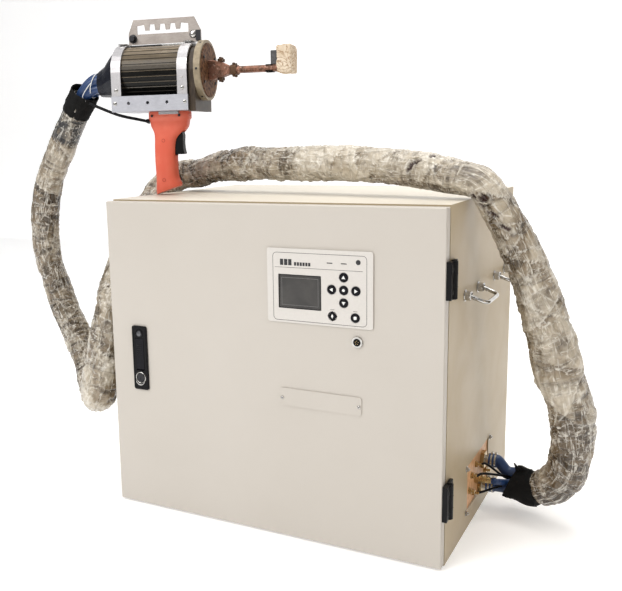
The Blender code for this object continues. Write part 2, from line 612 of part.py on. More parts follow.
# ---- hose and cables -------------------------------------------------------------------
# The hose is seen from end to end, so its length is the length of this route.
HOSE_ROUTE = [
    (0.4320, 0.0140, 0.0590), (0.4620, 0.0060, 0.0760), (0.4830, -0.0030, 0.1150),
    (0.4890, -0.0120, 0.1750), (0.4840, -0.0250, 0.2380), (0.4680, -0.0380, 0.3000),
    (0.4540, -0.0500, 0.3620), (0.4340, -0.0650, 0.4300), (0.4120, -0.0800, 0.4950),
    (0.3890, -0.0950, 0.5500), (0.3650, -0.1080, 0.5960), (0.3400, -0.1130, 0.6275),
    (0.2850, -0.1020, 0.6390), (0.2080, -0.0790, 0.6500), (0.0850, -0.0460, 0.6590),
    (-0.0280, -0.0210, 0.6580), (-0.1490, 0.0030, 0.6590), (-0.2350, 0.0190, 0.6500),
    (-0.2950, 0.0300, 0.6390), (-0.3350, 0.0270, 0.6330), (-0.3620, -0.0080, 0.6050),
    (-0.3650, -0.0600, 0.5560), (-0.3640, -0.1150, 0.5000), (-0.3660, -0.1600, 0.4400),
    (-0.3700, -0.1880, 0.3700), (-0.3780, -0.2020, 0.3040), (-0.3930, -0.2050, 0.2400),
    (-0.4180, -0.1900, 0.1950), (-0.4520, -0.1550, 0.1790), (-0.4880, -0.1180, 0.1880),
    (-0.5220, -0.0960, 0.2200), (-0.5560, -0.0820, 0.2680), (-0.5900, -0.0780, 0.3280),
    (-0.6140, -0.0810, 0.3980), (-0.6260, -0.0900, 0.4770), (-0.6160, -0.0980, 0.5600),
    (-0.5860, -0.1050, 0.6400), (-0.5410, -0.1120, 0.7060), (-0.5000, -0.1190, 0.7600),
    (-0.4680, -0.1260, 0.8000)]


def straight_ends(corners, per_leg):
    """A smooth route whose first and last legs are straight, so that its caps meet flat faces."""
    return [corners[0], *smooth_route(corners[1:-1], per_leg), corners[-1]]


def hose():
    start, ahead = Vector(HOSE_ROUTE[0]), Vector(HOSE_ROUTE[1])
    towards = (ahead - start).normalized()
    tube("hose_bundle", straight_ends(HOSE_ROUTE, 2), HOSE_R, FILM, resolution=4)
    mouth_x = 0.3860
    tube("sleeve_cabinet_end",
         straight_ends([(mouth_x, 0.0250, 0.0620), (mouth_x + 0.0060, 0.0250, 0.0620),
                        start - towards * 0.0150, start - towards * (2 * GAP)], 3),
         SLEEVE_R, BLACK_CLOTH, resolution=4)
    start_x = HALF_W - SHEET + 0.026 + GAP
    for name, fitting, end in (("upper", (0.040, 0.090), (0.036, 0.0745)),
                               ("lower", (0.022, 0.048), (0.018, 0.0500))):
        tube(f"supply_cable_{name}",
             straight_ends([(start_x, *fitting), (start_x + 0.005, *fitting),
                            (mouth_x - 0.005, *end), (mouth_x - GAP, *end)], 3),
             CABLE_R, BLUE_HOSE)


def gun_cables(gun):
    """Water-cooled cable pair behind the gun, and the trigger's control cable."""
    route = [(-0.1423, 0, 0.2240), (-0.1480, 0, 0.2240), (-0.1640, 0, 0.2180),
             (-0.1780, 0, 0.2080)]
    tube("gun_cables", straight_ends(route, 2), 0.0230, BLUE_HOSE, gun, 4)
    route = [(-0.1640, -0.0160, 0.1860), (-0.1430, -0.0170, 0.1765), (-0.1000, -0.0160, 0.1600),
             (-0.0570, -0.0110, 0.1500), (-0.0402, -0.0060, 0.1460)]
    tube("control_cable", smooth_route(route, 5), 0.003, BLACK_PLASTIC, gun)


def main():
    cabinet()
    cabinet_inside()
    connector_fittings()
    door()
    hinges()
    hmi()
    panel_socket()
    lock()
    side_handles()
    gun = gun_frame()
    gun_barrel(gun)
    gun_boot(gun)
    gun_cradle(gun)
    gun_straps(gun)
    gun_hanger(gun)
    gun_front(gun)
    gun_terminals(gun)
    gun_inductor(gun)
    gun_grip(gun)
    gun_trigger(gun)
    hose()
    gun_cables(gun)


main()
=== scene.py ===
"""Looks for the handheld induction heating machine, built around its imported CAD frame.

Metres, +Z up, the door faces -Y. Shapes made with gun=True are given in the gun's own frame:
a along the nose, b across it, c up from the cabinet top.
"""
from math import cos, pi, radians, sin

import bmesh
import bpy
import numpy as np
from mathutils import Matrix, Vector, noise


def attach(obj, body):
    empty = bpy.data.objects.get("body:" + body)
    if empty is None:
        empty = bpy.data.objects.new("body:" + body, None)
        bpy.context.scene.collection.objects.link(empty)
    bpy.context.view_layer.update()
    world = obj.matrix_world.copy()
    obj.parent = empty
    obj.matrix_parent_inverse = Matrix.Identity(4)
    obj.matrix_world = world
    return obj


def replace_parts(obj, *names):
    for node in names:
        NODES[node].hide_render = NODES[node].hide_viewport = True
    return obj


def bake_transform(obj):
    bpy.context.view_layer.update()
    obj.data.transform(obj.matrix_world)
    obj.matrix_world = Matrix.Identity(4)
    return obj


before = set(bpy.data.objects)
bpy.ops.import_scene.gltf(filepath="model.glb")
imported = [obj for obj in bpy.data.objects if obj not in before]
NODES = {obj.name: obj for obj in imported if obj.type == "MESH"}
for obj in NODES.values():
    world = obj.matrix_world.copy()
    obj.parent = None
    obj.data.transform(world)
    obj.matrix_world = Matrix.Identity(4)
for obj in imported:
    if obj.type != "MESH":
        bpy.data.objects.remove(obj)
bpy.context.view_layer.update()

FRONT, RIGHT, BACK, UP, DOWN = (0, -1, 0), (1, 0, 0), (0, 1, 0), (0, 0, 1), (0, 0, -1)
HALF_W, DOOR_FRONT, TOP = 0.325, -0.25, 0.6
PANEL_FACE = DOOR_FRONT - 0.003         # front of the keypad
PLATE_FACE = HALF_W - 0.0025            # outer face of the connector plate
GUN = Matrix.Translation((-0.2854, -0.085, TOP)) @ Matrix.Rotation(radians(13), 4, 'Z')
AXIS_C = 0.241                          # the barrel's axis above the cabinet top
LEAD_C = 0.2395                         # the inductor leads' axis above the cabinet top

HOSE_ROUTE = [tuple(p / 1000 for p in point) for point in (      # the bundle's middle, in mm
    (432, 14, 59), (462, 6, 76), (483, -3, 115), (489, -12, 175), (484, -25, 238), (468, -38, 300),
    (454, -50, 362), (434, -65, 430), (412, -80, 495), (389, -95, 550), (365, -108, 596),
    (340, -113, 627.5), (285, -102, 639), (208, -79, 650), (85, -46, 659), (-28, -21, 658),
    (-149, 3, 659), (-235, 19, 650), (-295, 30, 639), (-335, 27, 633), (-362, -8, 605),
    (-365, -60, 556), (-364, -115, 500), (-366, -160, 440), (-370, -188, 370), (-378, -202, 304),
    (-393, -205, 240), (-418, -190, 195), (-452, -155, 179), (-488, -118, 188), (-522, -96, 220),
    (-556, -82, 268), (-590, -78, 328), (-614, -81, 398), (-626, -90, 477), (-616, -98, 560),
    (-586, -105, 640), (-541, -112, 706), (-500, -119, 760), (-468, -126, 800))]

KEY_PLACES = {"key_up": (0.1576, 0.481), "key_left": (0.1363, 0.4597), "key_enter": (0.1576, 0.4597),
              "key_right": (0.1789, 0.4597), "key_down": (0.1576, 0.4384),
              "key_start": (0.1374, 0.415), "key_stop": (0.1778, 0.415)}


# ---- procedural materials ----------------------------------------------------------------
class Paint:
    """A procedural material, built one node per call. Sockets are passed between calls."""

    def __init__(self, name, rough, metal=0.0, **sockets):
        self.material = bpy.data.materials.new(name)
        self.material.use_nodes = True
        self.tree = self.material.node_tree
        self.shader = self.tree.nodes["Principled BSDF"]
        self.normal = None
        for key, value in {"Roughness": rough, "Metallic": metal, **sockets}.items():
            self.shader.inputs[key.replace("_", " ")].default_value = value

    def put(self, socket, value):
        if isinstance(value, bpy.types.NodeSocket):
            self.tree.links.new(value, socket)
        elif isinstance(value, tuple) and len(value) == 3 and socket.type == 'RGBA':
            socket.default_value = (*value, 1)
        else:
            socket.default_value = value

    def node(self, kind, out, inputs, **settings):
        """Adds a node, puts values or sockets into its inputs and gives one of its outputs."""
        node = self.tree.nodes.new("ShaderNode" + kind)
        for key, value in settings.items():
            setattr(node, key, value)
        for key, value in inputs.items():
            self.put(node.inputs[key], value)
        return node.outputs[out]

    def place(self, stretch=(1, 1, 1), attribute=None, turn=(0, 0, 0)):
        spot = (self.node("Attribute", "Vector", {}, attribute_name=attribute) if attribute
                else self.node("TexCoord", "Object", {}))
        return self.node("Mapping", 0, {"Vector": spot, "Scale": stretch, "Rotation": turn})

    def value(self, attribute):
        return self.node("Attribute", "Fac", {}, attribute_name=attribute)

    def upward(self):
        """How far the surface faces up, from -1 to 1."""
        return self.node("SeparateXYZ", "Z", {0: self.node("NewGeometry", "Normal", {})})

    def noise(self, scale, detail=4.0, rough=0.55, distort=0.0, **where):
        return self.node("TexNoise", "Fac", {"Vector": self.place(**where), "Scale": scale,
                                             "Detail": detail, "Roughness": rough, "Distortion": distort})

    def cells(self, scale, feature='F1', **where):
        return self.node("TexVoronoi", "Distance", {"Vector": self.place(**where), "Scale": scale},
                         feature=feature)

    def waves(self, scale, distort=0.0, **where):
        return self.node("TexWave", "Fac", {"Vector": self.place(**where), "Scale": scale,
                                            "Distortion": distort}, bands_direction='DIAGONAL')

    def math(self, how, a, b=0.0, c=0.0):
        return self.node("Math", 0, {0: a, 1: b, 2: c}, operation=how)

    def span(self, value, low, high, to_low=0.0, to_high=1.0):
        return self.node("MapRange", 0, {"Value": value, "From Min": low, "From Max": high,
                                         "To Min": to_low, "To Max": to_high})

    def mix(self, share, a, b):
        return self.node("Mix", 2, {"Factor": share, 6: a, 7: b}, data_type='RGBA')

    def colour(self, value):
        self.put(self.shader.inputs["Base Color"], value)
        return self

    def rough(self, value):
        self.put(self.shader.inputs["Roughness"], value)
        return self

    def bump(self, height, strength, distance):
        under = {"Normal": self.normal} if self.normal else {}
        self.normal = self.node("Bump", 0, {"Strength": strength, "Distance": distance,
                                            "Height": height, **under})
        self.put(self.shader.inputs["Normal"], self.normal)
        return self


def coated(name, base, dusty, lit_top_colour=None, rough=0.42):
    """Powder coat: orange peel, a faint drift of tone and handling marks; given a top colour, it is made paler
    where it faces up, as painted light.
    """
    p = Paint(name, rough, Specular_IOR_Level=0.42)
    look = p.mix(p.span(p.noise(3.2, 3), 0.35, 0.7), base, dusty)
    if lit_top_colour:
        # painted light: the coat blends to the paler top colour where it faces up
        look = p.mix(p.span(p.upward(), 0.5, 0.9), look, lit_top_colour)
    p.colour(look)
    p.rough(p.span(p.noise(9, 5, distort=0.6), 0.35, 0.75, rough - 0.05, rough + 0.1))
    return p.bump(p.noise(620, 2), 0.1, 0.0004).bump(p.noise(110, 2), 0.05, 0.0008).material


def pale(name, scale, detail, light, shade, glow):
    """Studio floor and wall: almost white, with a little light of its own."""
    p = Paint(name, 0.9, Emission_Color=(1, 1, 1, 1), Emission_Strength=glow)
    return p.colour(p.mix(p.noise(scale, detail), (light,) * 3, (shade,) * 3)).material


def brushed(name, base, dark, direction, rough=0.34, grain=520):
    """Rolled metal sheet with its grain along one axis, stains and fine scratches."""
    p = Paint(name, rough, 1.0)
    stretch = tuple(0.04 if k == direction else 1.0 for k in range(3))
    lines = p.noise(grain, 3, stretch=stretch)
    stain = p.noise(24, 4, distort=0.4)
    tone = p.math('ADD', p.math('MULTIPLY', lines, 0.5), p.math('MULTIPLY', stain, 0.6))
    p.colour(p.mix(p.span(tone, 0.4, 0.72), base, dark))
    p.rough(p.span(stain, 0.3, 0.7, rough - 0.07, rough + 0.12))
    return p.bump(lines, 0.12, 0.0002).material


def polished(name, base, rough=0.12):
    """Plated metal: bright, with fingerprints and a little pitting."""
    p = Paint(name, rough, 1.0)
    prints = p.noise(70, 4, distort=0.8)
    p.colour(p.mix(p.span(prints, 0.45, 0.8), base, tuple(0.72 * c for c in base)))
    p.rough(p.span(prints, 0.4, 0.75, rough, rough + 0.14))
    return p.bump(p.noise(900, 2), 0.05, 0.0002).material


def moulded(name, base, faded, rough=0.42, grain=900.0, specular=0.5):
    """Moulded plastic or rubber: fine grain, slightly faded and rubbed on its edges."""
    p = Paint(name, rough, Specular_IOR_Level=specular)
    cloud = p.noise(30, 4)
    edge = p.span(p.node("NewGeometry", "Pointiness", {}), 0.5, 0.62)
    tone = p.math('ADD', p.span(cloud, 0.4, 0.75, 0.0, 0.6), p.math('MULTIPLY', edge, 0.5))
    p.colour(p.mix(tone, base, faded))
    p.rough(p.span(cloud, 0.3, 0.7, rough - 0.06, rough + 0.08))
    return p.bump(p.noise(grain, 2), 0.18, 0.0003).material


def knitted(name, base, light):
    """Black protective cloth: a fine cross weave with lint."""
    p = Paint(name, 0.9, Specular_IOR_Level=0.2)
    weave = p.math('MULTIPLY', p.waves(260, 0.6), p.waves(260, 0.6, turn=(0, radians(90), 0)))
    p.colour(p.mix(p.span(p.math('ADD', weave, p.noise(300, 3)), 0.5, 1.3), base, light))
    return p.bump(weave, 0.5, 0.0006).material


def film_over_sleeve():
    """Cling film wound over a dark sleeve: milky where it lies in layers, streaked and creased, with painted
    highlights on its crests, facets and edges.
    """
    p = Paint("film_over_sleeve", 0.3, Specular_IOR_Level=0.5)
    film, line, black, tear = (p.value(n) for n in ("film", "line", "black", "tear"))
    streaks = p.noise(70, 3, 0.55, 0.7, attribute="hose_co", stretch=(1, 1, 0.13), turn=(0.2, 0.1, 0))
    creases = p.noise(36, 4, 0.55, 1.6, attribute="hose_co", stretch=(0.4, 0.4, 1.25), turn=(0.75, 0.2, 0.4))
    patches = p.noise(15, 3, 0.55, 1.2, attribute="hose_co", stretch=(1, 1, 0.6))
    fine = p.noise(170, 3, 0.55, 0.6, attribute="hose_co", stretch=(1, 1, 0.5))
    facets = p.cells(48, 'DISTANCE_TO_EDGE', attribute="hose_co", stretch=(1.0, 1.0, 0.55),
                     turn=(0.6, 0.3, 0.2))

    body = p.math('ADD', film, p.span(patches, 0.36, 0.64, -0.24, 0.24))
    body = p.math('ADD', body, p.span(streaks, 0.32, 0.68, -0.22, 0.22))
    body = p.math('ADD', body, p.span(creases, 0.34, 0.66, -0.2, 0.2))
    body = p.math('ADD', body, p.span(fine, 0.36, 0.64, -0.07, 0.07))
    milk = p.span(body, 0.16, 0.92)
    warm = p.mix(p.span(patches, 0.38, 0.62), (0.3, 0.228, 0.142), (0.5, 0.44, 0.345))
    cloudy = p.mix(p.span(film, 0.55, 1.0), warm, (0.56, 0.5, 0.405))
    bare = p.mix(p.span(creases, 0.38, 0.62), (0.046, 0.031, 0.017), (0.15, 0.108, 0.064))
    bare = p.mix(black, bare, (0.008, 0.008, 0.009))
    look = p.mix(milk, bare, cloudy)

    # painted highlights: crests of the streaks and creases and edges of the crinkle facets, made pale as glints
    def crest(texture, sharp):
        away = p.math('ABSOLUTE', p.math('SUBTRACT', texture, 0.5))
        return p.math('MAXIMUM', p.math('SUBTRACT', 1.0, p.math('MULTIPLY', away, sharp)), 0.0)

    net = p.math('MULTIPLY', p.span(facets, 0.0, 0.055, 1.0, 0.0), p.span(patches, 0.46, 0.56))
    glint = p.math('MAXIMUM', p.math('MAXIMUM', crest(streaks, 34.0), crest(creases, 40.0)), net)
    glint = p.math('MULTIPLY', glint, p.span(fine, 0.4, 0.56, 0.1, 1.0))
    glint = p.math('MULTIPLY', glint, p.span(black, 0.0, 1.0, 0.8, 0.75))
    # the glints and the 'line' attribute's bright lines are painted highlights, mixed into the colour as pale
    # cream
    look = p.mix(p.math('MAXIMUM', glint, line), look, (0.8, 0.765, 0.69))
    look = p.mix(tear, look, (0.04, 0.014, 0.009))
    p.colour(look)
    p.rough(p.span(milk, 0.0, 1.0, 0.22, 0.36))
    height = p.math('ADD', creases, p.math('MULTIPLY', streaks, 0.7))
    height = p.math('SUBTRACT', height, p.math('MULTIPLY', p.span(facets, 0.0, 0.35), 0.22))
    p.shader.inputs["Coat Weight"].default_value = 0.35
    p.shader.inputs["Coat Roughness"].default_value = 0.12
    return p.bump(height, 1.0, 0.012).bump(fine, 0.5, 0.0016).material


def loose_film():
    """A single torn layer of film."""
    p = Paint("loose_film", 0.28, Specular_IOR_Level=0.6)
    wrinkle = p.noise(160, 5, 0.6, 1.2)
    p.colour(p.mix(p.span(wrinkle, 0.35, 0.7), (0.5, 0.44, 0.34), (0.74, 0.7, 0.61)))
    return p.bump(wrinkle, 0.7, 0.002).material


def wound_board(name, base, dark, scale):
    """Laminated board: pressed cloth under a shiny resin skin."""
    p = Paint(name, 0.42, Specular_IOR_Level=0.3)
    fibre = p.noise(scale, 4, stretch=(1, 0.25, 0.25))
    cloud = p.noise(40, 4, distort=1.0)
    tone = p.math('ADD', p.math('MULTIPLY', fibre, 0.6), p.math('MULTIPLY', cloud, 0.5))
    p.colour(p.mix(p.span(tone, 0.42, 0.68), base, dark))
    return p.bump(fibre, 0.15, 0.0003).material


def charred_disc():
    """Brown laminate disc, its grain scorched by the heat of the leads."""
    p = Paint("scorched_laminate", 0.6, Specular_IOR_Level=0.15)
    grain = p.noise(240, 6, 0.7, 1.4, stretch=(1, 1, 0.35))
    spots = p.cells(160)
    tone = p.math('ADD', grain, p.math('MULTIPLY', spots, 0.5))
    p.colour(p.mix(p.span(tone, 0.55, 0.95), (0.02, 0.009, 0.005), (0.2, 0.098, 0.05)))
    return p.bump(grain, 0.7, 0.0012).material


def heated_copper():
    """Brazed copper: bright spots under brown and grey scale."""
    p = Paint("heated_copper", 0.42, 0.75)
    scale = p.noise(75, 6, 0.68, 1.2)
    soot = p.noise(210, 4, 0.6)
    tint = p.mix(p.span(scale, 0.38, 0.62), (0.3, 0.145, 0.098), (0.09, 0.048, 0.032))
    p.colour(p.mix(p.span(soot, 0.56, 0.72), tint, (0.46, 0.32, 0.25)))
    p.rough(p.span(scale, 0.35, 0.7, 0.34, 0.7))
    return p.bump(scale, 0.5, 0.0008).bump(soot, 0.3, 0.0004).material


def fused_block():
    """Cast ceramic: chalky, pitted, with brown veins where flux has run."""
    p = Paint("fused_ceramic", 0.92)
    vein = p.noise(42, 5, 0.6, 2.6)
    pits = p.cells(330)
    ridge = p.span(p.math('ABSOLUTE', p.math('SUBTRACT', vein, 0.5)), 0.004, 0.05)
    p.colour(p.mix(ridge, (0.34, 0.21, 0.11), p.mix(p.span(p.noise(30, 3), 0.4, 0.7),
                                                   (0.76, 0.67, 0.55), (0.62, 0.5, 0.36))))
    return p.bump(vein, 0.6, 0.0018).bump(pits, 0.4, 0.0008).material


def glass_screen():
    """Switched-off display behind a glossy window."""
    p = Paint("dark_display", 0.16, Specular_IOR_Level=0.35)
    smear = p.noise(22, 3, distort=0.7)
    p.colour(p.mix(p.span(smear, 0.3, 0.75), (0.03, 0.029, 0.028), (0.062, 0.058, 0.054)))
    p.rough(p.span(smear, 0.3, 0.7, 0.08, 0.22))
    return p.material


def painted(name, base, rough=0.5, metal=0.0, shade=0.8, grain=400.0):
    """A small part's finish: slight mottling and grain."""
    p = Paint(name, rough, metal)
    mottle = p.noise(grain / 4, 4)
    p.colour(p.mix(p.span(mottle, 0.35, 0.7), base, tuple(shade * c for c in base)))
    p.rough(p.span(mottle, 0.3, 0.7, max(rough - 0.06, 0.05), rough + 0.08))
    return p.bump(p.noise(grain, 2), 0.1, 0.0002).material


def barrel_sleeve():
    """Glossy ribbed wrap on the barrel, made a paler, patchy brown on its upper side as painted light."""
    p = Paint("ribbed_wrap", 0.24, Specular_IOR_Level=0.17)
    patchy = p.noise(60, 4, 0.6, 0.5, stretch=(0.3, 0.3, 1))
    # painted light: the wrap turns a patchy brown where it faces up
    top_light_mask = p.math('MULTIPLY', p.span(p.upward(), -0.05, 0.75), p.span(patchy, 0.3, 0.65, 0.55, 1.0))
    p.colour(p.mix(top_light_mask, (0.004, 0.0037, 0.003), (0.225, 0.18, 0.125)))
    p.rough(p.span(patchy, 0.35, 0.75, 0.18, 0.38))
    return p.bump(p.noise(500, 2, stretch=(0.1, 1, 1)), 0.15, 0.0003).material


PAINTS = {
    "floor": pale("pale_floor", 3.0, 3, 0.91, 0.88, 0.27),
    "wall": pale("pale_wall", 2.0, 2, 0.92, 0.9, 0.42),
    "beige": coated("beige_powder_coat", (0.525, 0.49, 0.445), (0.505, 0.47, 0.423)),
    # the body's coat: the door's beige darkened to tan as painted shade, and paler on top as painted light
    "beige_painted_shade": coated("beige_body_coat_painted_shade", (0.432, 0.35, 0.23), (0.404, 0.323, 0.206),
                          (0.64, 0.59, 0.5)),
    "sheet": brushed("galvanised_sheet", (0.62, 0.63, 0.64), (0.45, 0.46, 0.47), 0, 0.42, 220),
    "sink": brushed("extruded_aluminium", (0.66, 0.67, 0.69), (0.48, 0.49, 0.51), 2, 0.4),
    "can": moulded("capacitor_sleeve", (0.06, 0.13, 0.26), (0.1, 0.18, 0.32), 0.35),
    "core": wound_board("transformer_core", (0.09, 0.085, 0.08), (0.05, 0.046, 0.042), 300),
    "board": painted("circuit_board", (0.02, 0.15, 0.06), 0.35),
    "phenolic": wound_board("phenolic_board", (0.8, 0.48, 0.25), (0.58, 0.29, 0.12), 420),
    "chrome": polished("chrome_plate", (0.5, 0.49, 0.47), 0.14),
    "brass": polished("brass", (0.5, 0.36, 0.17), 0.24),
    "black": moulded("black_plastic", (0.004, 0.004, 0.0045), (0.008, 0.008, 0.009), 0.34, 900, 0.12),
    "gloss": moulded("black_gloss", (0.004, 0.004, 0.006), (0.007, 0.007, 0.01), 0.22, 300, 0.12),
    "keypad": painted("keypad_film", (0.615, 0.588, 0.555), 0.42, 0.0, 0.96, 900),
    "ink": painted("dark_ink", (0.02, 0.02, 0.022), 0.5),
    "white_ink": painted("white_ink", (0.82, 0.82, 0.8), 0.45, 0.0, 0.92),
    "ring_grey": painted("key_ring_grey", (0.52, 0.5, 0.48), 0.4, 0.0, 0.9),
    "screen": glass_screen(),
    "screen_line": painted("display_edge", (0.16, 0.155, 0.15), 0.25),
    "grey_button": brushed("button_metal", (0.17, 0.172, 0.18), (0.1, 0.102, 0.11), 0, 0.35, 700),
    "gunmetal": polished("blackened_steel", (0.045, 0.045, 0.048), 0.3),
    "foam": moulded("foam_gasket", (0.03, 0.03, 0.03), (0.06, 0.06, 0.058), 0.9, 700, 0.2),
    "barrel": barrel_sleeve(),
    "boot": moulded("shrunk_rubber", (0.006, 0.007, 0.012), (0.009, 0.011, 0.019), 0.24, 160, 0.22),
    "rail": brushed("milled_aluminium", (0.5, 0.505, 0.545), (0.4, 0.405, 0.44), 0, 0.46),
    "strap": brushed("strap_aluminium", (0.53, 0.52, 0.53), (0.4, 0.39, 0.4), 1, 0.42),
    "hanger": brushed("hanger_aluminium", (0.36, 0.325, 0.3), (0.27, 0.24, 0.22), 0, 0.42),
    "dark_board": wound_board("dark_laminate", (0.06, 0.042, 0.026), (0.03, 0.02, 0.013), 300),
    "ring": painted("cream_ring", (0.3, 0.245, 0.165), 0.48, 0.25, 0.72, 500),
    "disc": charred_disc(),
    "copper": heated_copper(),
    "bronze": polished("scaled_bronze", (0.11, 0.065, 0.042), 0.45),
    "ferrite": painted("ferrite", (0.085, 0.085, 0.09), 0.6, 0.0, 0.6, 800),
    "ceramic": fused_block(),
    "red": moulded("red_grip", (0.66, 0.105, 0.056), (0.72, 0.17, 0.1), 0.42, 1100),
    "red_dark": moulded("red_seam", (0.42, 0.045, 0.022), (0.5, 0.07, 0.035), 0.5),
    "blue_rubber": moulded("blue_hose", (0.012, 0.036, 0.115), (0.028, 0.066, 0.17), 0.3, 240, 0.45),
    "cloth": knitted("black_cloth", (0.0035, 0.0035, 0.0035), (0.01, 0.0098, 0.0095)),
    "film": film_over_sleeve(),
    "scrap": loose_film(),
    "wire_red": painted("red_wire", (0.5, 0.03, 0.02), 0.4),
    "wire_blue": painted("blue_wire", (0.03, 0.08, 0.4), 0.4)}


# ---- camera, lights, floor ---------------------------------------------------------------
def make_camera():
    """The photograph's view, with the small shift of its framing."""
    data = bpy.data.cameras.new("camera")
    data.sensor_width, data.lens = 36.0, 47.405
    data.shift_x, data.shift_y = 0.09, -0.0121
    data.clip_start, data.clip_end = 0.05, 60
    camera = bpy.data.objects.new("camera", data)
    bpy.context.scene.collection.objects.link(camera)
    turn, tilt, roll = radians(28.5615), radians(10.2459), radians(-1.3399)
    ahead = Vector((-sin(turn) * cos(tilt), cos(turn) * cos(tilt), -sin(tilt)))
    right = ahead.cross(Vector(UP)).normalized()
    up = right.cross(ahead)
    right, up = right * cos(roll) + up * sin(roll), up * cos(roll) - right * sin(roll)
    camera.matrix_world = Matrix.Translation((0.6597, -1.4782, 0.7052)) @ Matrix(
        (right, up, -ahead)).transposed().to_4x4()
    bpy.context.scene.camera = camera


def studio():
    """Pale surroundings, four soft lights, and a floor that turns up into a wall."""
    scene = bpy.context.scene
    scene.view_settings.view_transform = 'Standard'
    scene.world = bpy.data.worlds.new("studio")
    scene.world.use_nodes = True
    nodes, links = scene.world.node_tree.nodes, scene.world.node_tree.links
    spot, split, ramp = (nodes.new("ShaderNode" + kind) for kind in ("TexCoord", "SeparateXYZ", "ValToRGB"))
    links.new(spot.outputs["Generated"], split.inputs[0])
    links.new(split.outputs["Z"], ramp.inputs[0])
    links.new(ramp.outputs[0], nodes["Background"].inputs[0])
    nodes["Background"].inputs[1].default_value = 0.5
    low, high = ramp.color_ramp.elements
    low.position, high.position = 0.0, 0.75
    low.color, high.color = (0.5, 0.49, 0.48, 1), (1, 1, 1, 1)
    for name, where, target, size, power, colour in (
            ("key", (-1.3, -3.2, 2.7), (0, -0.1, 0.45), 2.4, 84, (1.0, 0.985, 0.965)),
            ("glint", (-0.9, -2.3, 2.5), (0.1, -0.1, 0.5), 0.35, 9, (1.0, 0.98, 0.95)),
            ("fill", (3.3, -1.2, 2.2), (0.3, 0, 0.4), 1.6, 11, (1.0, 0.7, 0.36)),
            ("overhead", (0.1, 0.3, 3.4), (0.0, 0.05, 0.6), 2.4, 84, (1.0, 0.99, 0.97))):
        data = bpy.data.lights.new(name, 'AREA')
        data.energy, data.size, data.color = power, size, colour
        light = bpy.data.objects.new(name, data)
        scene.collection.objects.link(light)
        light.location = where
        light.rotation_euler = (Vector(target) - Vector(where)).to_track_quat('-Z', 'Y').to_euler()

    foot, bend, top = 3.2, 1.6, 6.0     # where the floor ends, the radius of its turn, the wall's top
    profile = [(-6.0, 0.0), (foot, 0.0)]
    profile += [(foot + u, bend - v) for v, u in (around(bend, t) for t in range(10, 91, 10))]
    profile.append((foot + bend, top))
    floor = made("floor", [(x, y, z) for y, z in profile for x in (-7.0, 7.0)],
                 [(2 * k, 2 * k + 1, 2 * k + 3, 2 * k + 2) for k in range(len(profile) - 1)], "floor")
    floor.data.materials.append(PAINTS["wall"])
    for face in floor.data.polygons[1:]:
        face.material_index = 1


# ---- shapes ------------------------------------------------------------------------------
def made(name, verts, faces, paint, angle=None):
    """A smooth object of points and faces, facing outward; angle keeps sharper edges crisp."""
    mesh = bpy.data.meshes.new(name)
    mesh.from_pydata(verts, [], faces)
    bm = bmesh.new()
    bm.from_mesh(mesh)
    bmesh.ops.recalc_face_normals(bm, faces=bm.faces)
    bm.to_mesh(mesh)
    bm.free()
    mesh.shade_smooth()
    if angle:
        mesh.set_sharp_from_angle(angle=radians(angle))
    mesh.materials.append(PAINTS[paint])
    thing = bpy.data.objects.new(name, mesh)
    bpy.context.scene.collection.objects.link(thing)
    return thing


def soften(thing, width):
    """Rounds the edges of a piece with a bevel."""
    bevel = thing.modifiers.new("bevel", 'BEVEL')
    bevel.width, bevel.segments = width, 2
    bevel.limit_method, bevel.angle_limit = 'ANGLE', radians(38)
    bevel.harden_normals = False


def around(radius, degrees):
    return radius * cos(radians(degrees)), radius * sin(radians(degrees))


def basis(axis):
    """Two directions across an axis, right-handed with it, and the axis itself."""
    axis = Vector(axis).normalized()
    side = axis.cross(Vector(UP if abs(axis.z) < 0.9 else RIGHT)).normalized()
    return side, side.cross(axis).normalized() * -1, axis


def carried(points):
    """Two directions across a route at each point, carried along it without twisting."""
    points = [Vector(p) for p in points]
    pairs, side = [], None
    for k, p in enumerate(points):
        ahead = (points[min(k + 1, len(points) - 1)] - points[max(k - 1, 0)]).normalized()
        if side is None:
            side = basis(ahead)[0]
        side = (side - ahead * side.dot(ahead)).normalized()
        pairs.append((side.copy(), ahead.cross(side)))
    return pairs


def smooth_route(corners, per_leg):
    """Points on a Catmull-Rom curve through the corners."""
    pts = [Vector(p) for p in corners]
    ends = [2 * pts[0] - pts[1], *pts, 2 * pts[-1] - pts[-2]]
    route = []
    for k in range(1, len(ends) - 2):
        a, b, c, d = ends[k - 1:k + 3]
        for step in range(per_leg):
            t = step / per_leg
            route.append(0.5 * (2 * b + (c - a) * t + (2 * a - 5 * b + 4 * c - d) * t * t
                                + (3 * b - a - 3 * c + d) * t ** 3))
    return route + [pts[-1]]


def spaced(points, step):
    """The route again, with points an even step apart, and how far along each lies."""
    line = np.array([tuple(p) for p in points])
    along = np.concatenate([[0], np.cumsum(np.linalg.norm(np.diff(line, axis=0), axis=1))])
    at = np.linspace(0, along[-1], int(round(along[-1] / step)) + 1)
    return np.stack([np.interp(at, along, line[:, k]) for k in range(3)], axis=1), at


def rounded(x0, x1, y0, y1, radius, steps=6):
    """A rectangle outline with round corners."""
    outline = []
    for cx, cy, first in ((x1 - radius, y1 - radius, 0), (x0 + radius, y1 - radius, 90),
                          (x0 + radius, y0 + radius, 180), (x1 - radius, y0 + radius, 270)):
        for k in range(steps + 1):
            turn = radians(first + 90 * k / steps)
            outline.append((cx + radius * cos(turn), cy + radius * sin(turn)))
    return outline


